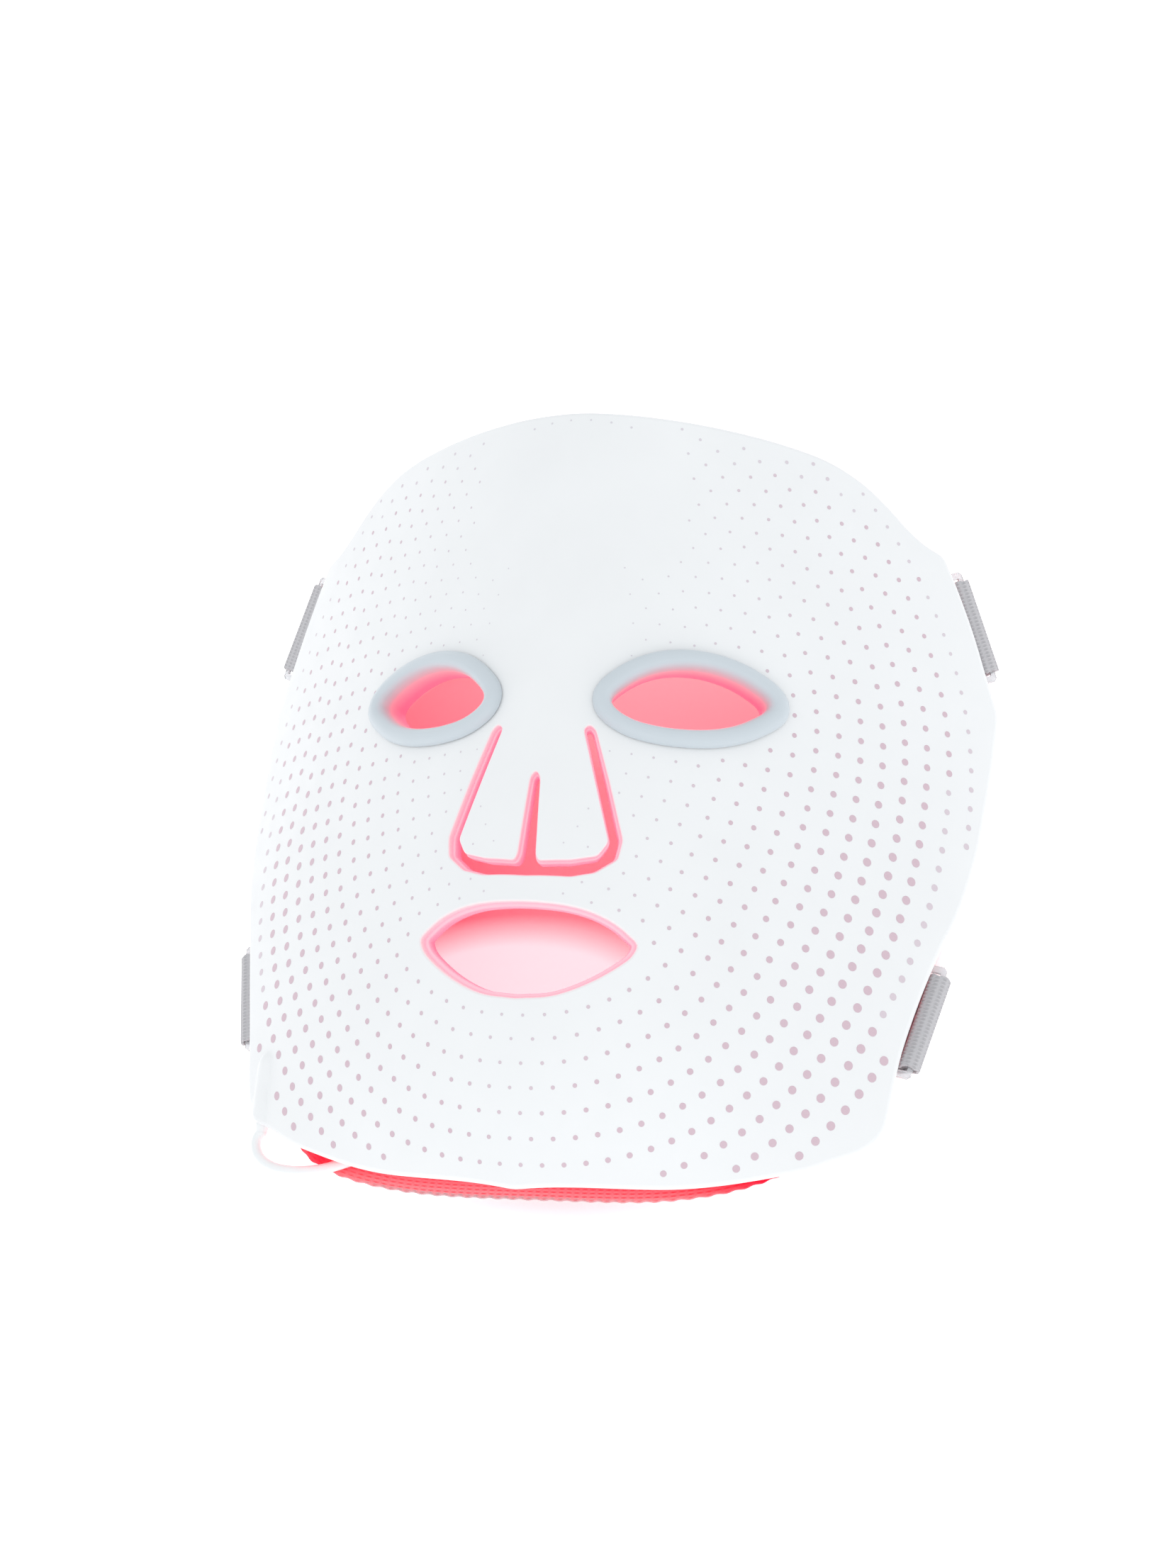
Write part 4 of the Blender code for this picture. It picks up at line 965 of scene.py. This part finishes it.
class Anchor:
    """The frame of one strap slot: where its rim is, and which way is along, out and up."""

    def __init__(self, level, side):
        y = SLOT_Y[level]
        front, back, middle = (self.rim_point(v) for v in (y - SLOT_HALF, y + SLOT_HALF, y))
        along = unit(front - back)
        if level == "lower":
            along[2] = 0.0
            along = unit(along)
            up = np.array((0.0, 0.0, 1.0))
            middle[2] = RIM_LEVEL[level]
        else:
            along[2] *= SLOT_TILT
            along = unit(along)
            up = unit(normals(middle[None, :2])[0] + (0, 0, 1))
            up = unit(up - along * up.dot(along))
        out = np.cross(up, along)
        out = out if out[0] > 0 else -out
        self.flip = np.array((side, 1, 1))
        self.reach = REACH.get((level, side), 0.0)
        self.along, self.out, self.up = along * self.flip, out * self.flip, up * self.flip
        self.base = (middle - up * RIM_LEVEL[level]) * self.flip
        self.side = side

    @staticmethod
    def rim_point(y):
        """Where the right rim's foot is at this Y."""
        half = OUTLINE[OUTLINE[:, 0] > 50]
        near = half[np.argsort(np.abs(half[:, 1] - y))[:2]]
        (x0, y0), (x1, y1) = near
        return on_wall(x0 + (x1 - x0) * (y - y0) / (y1 - y0), y, -WALL)

    def at(self, outward, up):
        outward += self.reach if outward > REACH_FROM else 0.0
        return self.base + self.out * outward + self.up * up

    def stations(self, path):
        """Points of a path and the band's width at each, along the slot where none is given."""
        points = np.array([place for place, _ in path], dtype=float) * self.flip
        widths = [self.along if d is None else unit(np.array((*d, 0.0)[:3])) * self.flip
                  for _, d in path]
        return points, np.array(widths)


def strap_half(anchor, path, level):
    """One side of a strap from its hidden end, through the slot and on under the mask."""
    if level == "upper":
        ends = np.array(((84.2, 66.8, 8.9), (87.6, 65.9, 9.6)))
    else:
        ends = np.array((path[1][0], path[0][0])) + ((0, 0, 2.1), (0.6, 0.4, 2.1))
    loop = np.array([anchor.at(out, up) for out, up in LOOP])
    points, widths = anchor.stations(path)
    turned = np.tile(anchor.along, (len(ends) + len(loop), 1))
    return np.vstack([ends * anchor.flip, loop, points]), np.vstack([turned, widths])


def chin_light(spot):
    """Light of the mask's edge on the lower strap: strong under the chin, gone at the sides."""
    rise = np.clip((spot[1] + 91.5) / 11.0, 0, 1)
    side = np.clip((78 - abs(spot[0])) / 18, 0, 1)
    return float(rise * rise * (3 - 2 * rise) * side)


def build_straps():
    """Both straps, each with its two free tabs and the hook tape under them."""
    for level in ("upper", "lower"):
        right, left = Anchor(level, 1), Anchor(level, -1)
        paths = (UPPER_RIGHT, UPPER_RIGHT) if level == "upper" else (LOWER_RIGHT, LOWER_LEFT)
        first, first_widths = strap_half(right, paths[0], level)
        second, second_widths = strap_half(left, paths[1], level)
        points = np.vstack([first, second[-2::-1]])
        widths = np.vstack([first_widths, second_widths[-2::-1]])
        lit = chin_light if level == "lower" else None
        band(level + "_band", level + "_strap", points, widths, "mask", STRAP_WIDTH, STRAP, 1,
             STRAP_LOOK, "strap_elastic", scallop=SCALLOP, lit=lit)
        for anchor, side in ((right, "right"), (left, "left")):
            key = level if level == "upper" else f"{level}_{side}"
            name = f"tab_{level}_{side}"
            points, widths = anchor.stations(TAB_PATHS[key])
            band(name + "_band", name, points, widths, name, STRAP_WIDTH, STRAP, -anchor.side,
                 STRAP_LOOK, "strap_elastic", scallop=SCALLOP, lit=lit)
            low = points[2:] - (0, 0, STRAP + 0.25)
            patch = f"hook_patch_{level}_{side}"
            band(patch + "_tape", patch, low, widths[2:], name, STRAP_WIDTH - 3.0, PATCH,
                 -anchor.side, HOOK_LOOK, "hook_tape")


def build_frames():
    """Slot frames: the CAD frame with softened edges."""
    for level in ("upper", "lower"):
        for side in ("right", "left"):
            node = f"strap_anchor_{level}_{side}"
            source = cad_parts[node]
            mesh = source.data.copy()
            mesh.materials.clear()
            mesh.materials.append(CLEAR_LOOK)
            made = linked(f"slot_frame_{level}_{side}", mesh)
            made.matrix_world = source.matrix_world
            reworked(mesh, lambda shape: bmesh.ops.dissolve_limit(
                shape, angle_limit=math.radians(2), verts=shape.verts, edges=shape.edges))
            bevel = made.modifiers.new("edge", "BEVEL")
            bevel.width = 0.2 * MM
            bevel.segments = 3
            bevel.limit_method = "ANGLE"
            bevel.angle_limit = math.radians(40)
            mesh.shade_smooth()
            mesh.set_sharp_from_angle(angle=math.radians(50))
            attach(made, "mask")
            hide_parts(node)


# --- lead ---------------------------------------------------------------------------------------

LEAD_DIAMETER = 2.6
LEAD_ROUTE = ((-77.6, -78.3, 1.5), (-76.3, -81.7, 1.4), (-73.0, -84.2, 1.4), (-68.0, -85.4, 1.4),
              (-61.0, -85.2, 1.6), (-54.0, -83.7, 2.45), (-45.0, -79.8, 2.6), (-33.0, -73.0, 2.6),
              (-20.0, -64.8, 2.6), (-8.0, -58.0, 1.9), (4.0, -51.5, 1.45), (14.0, -43.5, 1.4),
              (22.5, -34.0, 1.7), (28.5, -25.0, 2.3), (31.1, -18.2, 2.4), (31.75, -13.0, 2.3))
TAIL_ROUTE = ((61.8, 11.8, 9.9), (63.6, 11.95, 9.3), (65.6, 12.8, 8.0), (67.3, 14.4, 6.3),
              (68.5, 16.4, 4.8), (69.0, 18.8, 3.8), (69.0, 21.6, 3.4))
PLUG_AT = (69.0, 21.9, 3.4)
COIL_CENTRE = (50.0, -6.0)
COIL_START = 185.0
COIL_TURNED = 3000.0
TURN_GAP = 2.65
COIL_RADIUS = 15.5
COIL_RADII = (COIL_RADIUS + TURN_GAP, COIL_RADIUS, COIL_RADIUS - TURN_GAP)
COIL_LOW = 2.3                 # the lowest turns' middle over the table
TIE_ANGLE = -35.0
TIE_WIDTH, TIE_THICKNESS = 5.0, 0.45


def eased(t):
    t = min(1.0, max(0.0, t))
    return t * t * (3 - 2 * t)


def stepped(value, steps):
    """Runs through steps of (start, end, level before, level after) at this value."""
    level = steps[0][2]
    for start, end, before, after in steps:
        if value >= start:
            level = before + (after - before) * eased((value - start) / (end - start))
    return level


def coil_points():
    """Three layers of three turns, wound in, out and in, then off over the top."""
    outer, middle, inner = COIL_RADII
    radii = ((280, 340, outer, middle), (640, 700, middle, inner), (1240, 1300, inner, middle),
             (1600, 1660, middle, outer), (2200, 2260, outer, middle), (2560, 2620, middle, inner),
             (2920, 3010, inner, 21.0))
    levels = [COIL_LOW + k * TURN_GAP for k in range(4)]
    rises = ((940, 1000, levels[0], levels[1]), (1900, 1960, levels[1], levels[2]),
             (2860, 2920, levels[2], levels[3]))
    made = []
    for travelled in np.arange(0.0, COIL_TURNED + 1, 15.0):
        angle = math.radians(COIL_START - travelled)
        radius = stepped(travelled, radii)
        made.append((COIL_CENTRE[0] + radius * math.cos(angle),
                     COIL_CENTRE[1] + radius * math.sin(angle), stepped(travelled, rises)))
    return made


def lead_exit():
    """Where the lead leaves its gland, and which way."""
    start = on_wall(*ENTRY_START, GLAND_DEPTH)
    end = on_wall(*ENTRY_END, GLAND_DEPTH)
    along = unit(end - start)
    return end + along * 1.0, along


def build_lead():
    """The lead as one tube from the gland, through the coil, to the plug."""
    out, along = lead_exit()
    route = [tuple(out), tuple(out + along * 1.2), *LEAD_ROUTE, *coil_points(), *TAIL_ROUTE[1:]]
    route.append((PLUG_AT[0], PLUG_AT[1] + 0.3, PLUG_AT[2]))
    path = (smooth(route, 3) + (0, SHIFT_Y, 0)) * MM
    curve = bpy.data.curves.new("power_lead", "CURVE")
    curve.dimensions = "3D"
    curve.bevel_depth = LEAD_DIAMETER / 2 * MM
    curve.bevel_resolution = 5
    curve.use_fill_caps = True
    spline = curve.splines.new("POLY")
    spline.points.add(len(path) - 1)
    for point, place in zip(spline.points, path):
        point.co = (*place, 1.0)
    spline.use_smooth = True
    curve.materials.append(LEAD_LOOK)
    lead = linked("power_lead", curve)
    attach(lead, "mask")
    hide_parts("lead", "lead_coil", "lead_tail")
    pieces = [*build_plug(), build_tie(), build_boot(out, along)]


def lathe_rings(name, stations, look, slot, node, count):
    """A closed body through rings given as (centre, across, down, half width, half depth, power)."""
    points = []
    for centre, across, down, width, depth, power in stations:
        for k in range(count):
            turn = 2 * math.pi * (k + 0.5) / count
            c, s = math.cos(turn), math.sin(turn)
            a = math.copysign(abs(c) ** power, c) * width
            b = math.copysign(abs(s) ** power, s) * depth
            points.append((np.array(centre) + np.array(across) * a + np.array(down) * b
                           + (0, SHIFT_Y, 0)) * MM)
    made = mesh_object(name, points, closed_body(len(stations), count), look, slot, sharp=50)
    face_out(made.data)
    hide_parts(node)
    return made


def build_boot(out, along):
    """Gland in the jaw corner with a short tapered sleeve over the lead."""
    start = out - along * 17.3
    across = unit(np.cross(along, (0, 0, 1)))
    down = np.cross(along, across)
    steps = [(0.0, 1.2), (0.3, 1.42), (15.9, 1.42), (16.3, 1.66), (16.6, 1.74), (17.2, 1.74),
             (17.4, 1.68), (18.2, 1.56), (18.35, 1.5), (18.6, 1.5), (18.75, 1.55), (19.4, 1.45),
             (19.6, 1.36)]
    stations = [(start + along * s, across, down, r, r, 1.0) for s, r in steps]
    return lathe_rings("lead_boot", stations, LEAD_LOOK, "lead_white", "lead_gland", 24)


def build_plug():
    """USB-A plug: relief collars, ribbed grip, hollow shell, tongue and contacts."""
    x, y, z = PLUG_AT
    base = y + 20.0

    def along_plug(name, start, steps, look, slot, node, count):
        stations = [((x, start + s, z), (1.0, 0.0, 0.0), (0.0, 0.0, 1.0), a, b, power)
                    for s, a, b, power in steps]
        return lathe_rings(name, stations, look, slot, node, count)

    # Distance along the plug, half width, half depth, power
    steps = [(-3.2, 1.42, 1.42, 1.0), (-3.0, 1.75, 1.75, 1.0), (-2.2, 1.85, 1.85, 1.0),
             (-2.1, 1.6, 1.6, 1.0), (-1.6, 1.6, 1.6, 1.0), (-1.5, 2.05, 2.0, 1.0),
             (-0.7, 2.15, 2.1, 1.0), (-0.6, 1.8, 1.8, 1.0), (-0.1, 1.8, 1.8, 1.0),
             (0.0, 2.6, 2.2, 0.9), (0.5, 3.6, 2.6, 0.7), (1.4, 4.6, 2.85, 0.55),
             (2.8, 5.1, 2.97, 0.45), (5.0, 5.2, 3.0, 0.4)]
    for k in range(7):
        at = 6.0 + k * 1.3
        steps += [(at, 5.2, 3.0, 0.4), (at + 0.15, 5.0, 2.82, 0.4), (at + 0.55, 5.0, 2.82, 0.4),
                  (at + 0.7, 5.2, 3.0, 0.4)]
    steps += [(18.6, 5.2, 3.0, 0.4), (19.6, 5.05, 2.88, 0.4), (20.0, 4.7, 2.6, 0.42)]
    grip = along_plug("plug_body", y, steps, LEAD_LOOK, "lead_white", "plug_grip", 48)
    steps = [(-0.1, 4.0, 1.1, 0.5), (0.1, 4.15, 1.25, 0.5), (6.65, 4.15, 1.25, 0.5),
             (6.85, 4.05, 1.15, 0.5), (6.85, 3.92, 1.02, 0.5), (6.6, 3.85, 0.95, 0.5),
             (1.5, 3.85, 0.95, 0.5)]
    shell = along_plug("plug_tube", base, steps, STEEL_LOOK, "steel", "plug_shell", 48)
    steps = [(1.6, 2.8, 0.34, 0.3), (5.9, 2.85, 0.35, 0.3), (6.1, 2.7, 0.24, 0.3)]
    tongue = along_plug("plug_blade", base, steps, BLACK_LOOK, "black_plastic", "plug_tongue", 32)
    contacts = Builder()
    for k in range(9):
        for side in (1, -1):
            middle = np.array((x - 2.2 + k * 0.55, base + 3.7, z + side * 0.345))
            corners = [middle + (dx, dy, dz) for dz in (0, side * 0.05) for dx, dy in
                       ((-0.13, -1.9), (0.13, -1.9), (0.13, 1.9), (-0.13, 1.9))]
            a = contacts.add([(c + (0, SHIFT_Y, 0)) * MM for c in corners])
            contacts.faces += [(a[4], a[5], a[6], a[7]), (a[0], a[1], a[5], a[4]),
                               (a[1], a[2], a[6], a[5]), (a[2], a[3], a[7], a[6]),
                               (a[3], a[0], a[4], a[7])]
    pins = mesh_object("plug_contacts", contacts.points, contacts.faces, BRASS_LOOK, "steel")
    return [grip, shell, tongue, pins]


def build_tie():
    """A soft strap wound once round the coil, its free end lapped over."""
    angle = math.radians(TIE_ANGLE)
    out = np.array((math.cos(angle), math.sin(angle), 0.0))
    side = np.array((-out[1], out[0], 0.0))
    middle = np.array((*COIL_CENTRE, COIL_LOW + TURN_GAP)) + out * COIL_RADIUS
    half = TURN_GAP + LEAD_DIAMETER / 2 + 0.08
    path = []
    for k in range(97):
        turn = 2 * math.pi * k / 90 - 0.9
        c, s = math.cos(turn), math.sin(turn)
        reach = 1 / (abs(c) ** 6 + abs(s) ** 6) ** (1 / 6)
        lap = 0.5 * eased((k - 84) / 6)
        path.append(middle + (out * c + np.array((0, 0, 1)) * s) * ((half + 0.12) * reach + lap))
    return band("coil_wrap", "coil_tie", np.array(path), np.tile(side, (97, 1)), "mask",
                TIE_WIDTH, TIE_THICKNESS, 1, TIE_LOOK, "tie")


# --- stage --------------------------------------------------------------------------------------

def build_camera():
    """The photo's viewpoint, lens and roll."""
    back = (CAMERA_AT - CAMERA_AIM).normalized()
    right = Vector((0, 0, 1)).cross(back).normalized()
    upward = back.cross(right)
    turn = Matrix((right, upward, back)).transposed() @ Matrix.Rotation(CAMERA_ROLL, 3, "Z")
    data = bpy.data.cameras.new("camera")
    data.lens = LENS
    data.sensor_fit = "VERTICAL"
    data.sensor_height = 36
    data.clip_start = 0.01
    camera = linked("camera", data)
    camera.matrix_world = Matrix.Translation(CAMERA_AT) @ turn.to_4x4()
    bpy.context.scene.camera = camera


def area_light(name, place, aim, size, power):
    data = bpy.data.lights.new(name, "AREA")
    data.shape = "DISK"
    data.size = size
    data.energy = power
    lamp = linked(name, data)
    away = Vector(place) - Vector(aim)
    lamp.matrix_world = (Matrix.Translation(place)
                         @ away.to_track_quat("Z", "Y").to_matrix().to_4x4())


def distance_node(look, x, y, wide, long):
    """Distance from a floor point, as a share of an oval's half width and half length."""
    place = look.node("ShaderNodeVectorMath", operation="ADD")
    place.inputs[1].default_value = (-x / wide, -y / long, 0.0)
    look.link(look.coords((1 / wide, 1 / long, 0.0)), place.inputs[0])
    reach = look.node("ShaderNodeVectorMath", operation="LENGTH")
    look.link(place.outputs[0], reach.inputs[0])
    return reach.outputs["Value"]


WORLD_LIGHT = 0.98
KEY_POWER = 0.5
FRONT_POWER = 1.8
FLOOR_TONE = 0.8
# Light that falls in through the holes: x, y, half width, half length, strength
LIGHT_POOLS = ((-0.016, -0.041, 0.050, 0.030, 0.6), (0.016, 0.046, 0.034, 0.022, 0.08),
               (-0.050, 0.046, 0.034, 0.022, 0.04))
FLOOR_GLOW = 0.75              # the sheet is lit from below round the mask


def build_stage():
    """White light all round, two soft lamps and a lit white sheet."""
    world = bpy.data.worlds.new("studio")
    bpy.context.scene.world = world
    world.use_nodes = True
    sky = world.node_tree.nodes["Background"]
    sky.inputs["Color"].default_value = (0.97, 0.985, 1.0, 1.0)
    sky.inputs["Strength"].default_value = WORLD_LIGHT
    area_light("key", (-0.55, 0.1, 1.1), (0, 0, 0.03), 0.8, KEY_POWER)
    area_light("front", (0.25, -0.9, 0.8), (0, 0, 0.03), 0.9, FRONT_POWER)
    look = Look("paper", (FLOOR_TONE,) * 3, 0.9, Specular_IOR_Level=0.1)
    look.bump(look.noise(500.0), 0.00002, 0.1)
    total = look.ramp(distance_node(look, 0.0, 0.0, 0.1, 0.1), 0.0, FLOOR_GLOW, 0.8, 0.98)
    for x, y, wide, long, power in LIGHT_POOLS:
        pool = look.ramp(distance_node(look, x, y, wide, long), power, 0.0, 0.7, 1.0)
        total = look.sums("ADD", pool, total)
    look.set("Emission Color", (1.0, 0.97, 0.98, 1.0))
    look.to("Emission Strength", total)
    mesh = bpy.data.meshes.new("floor")
    far, low = 3.0, -0.0001
    corners = [(-far, -far, low), (far, -far, low), (far, far, low), (-far, far, low)]
    mesh.from_pydata(corners, [], [(0, 1, 2, 3)])
    mesh.materials.append(look.made)
    linked("floor", mesh)
    bpy.context.scene.view_settings.view_transform = "Standard"


def dress_cad():
    """Materials for the CAD nodes that stay."""
    looks = {"flex_circuit": CIRCUIT_LOOK, "junction_board": BOARD_LOOK, "led_strip": STRIP_LOOK}
    for name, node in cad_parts.items():
        for start, look in looks.items():
            if name.startswith(start):
                node.data.materials.clear()
                node.data.materials.append(look)


build_camera()
build_lead()
build_skin()
build_print()
build_liner()
build_surround(EYES[0], "eye_surround_right")
build_surround(EYES[1], "eye_surround_left")
build_straps()
build_frames()
dress_cad()
build_stage()
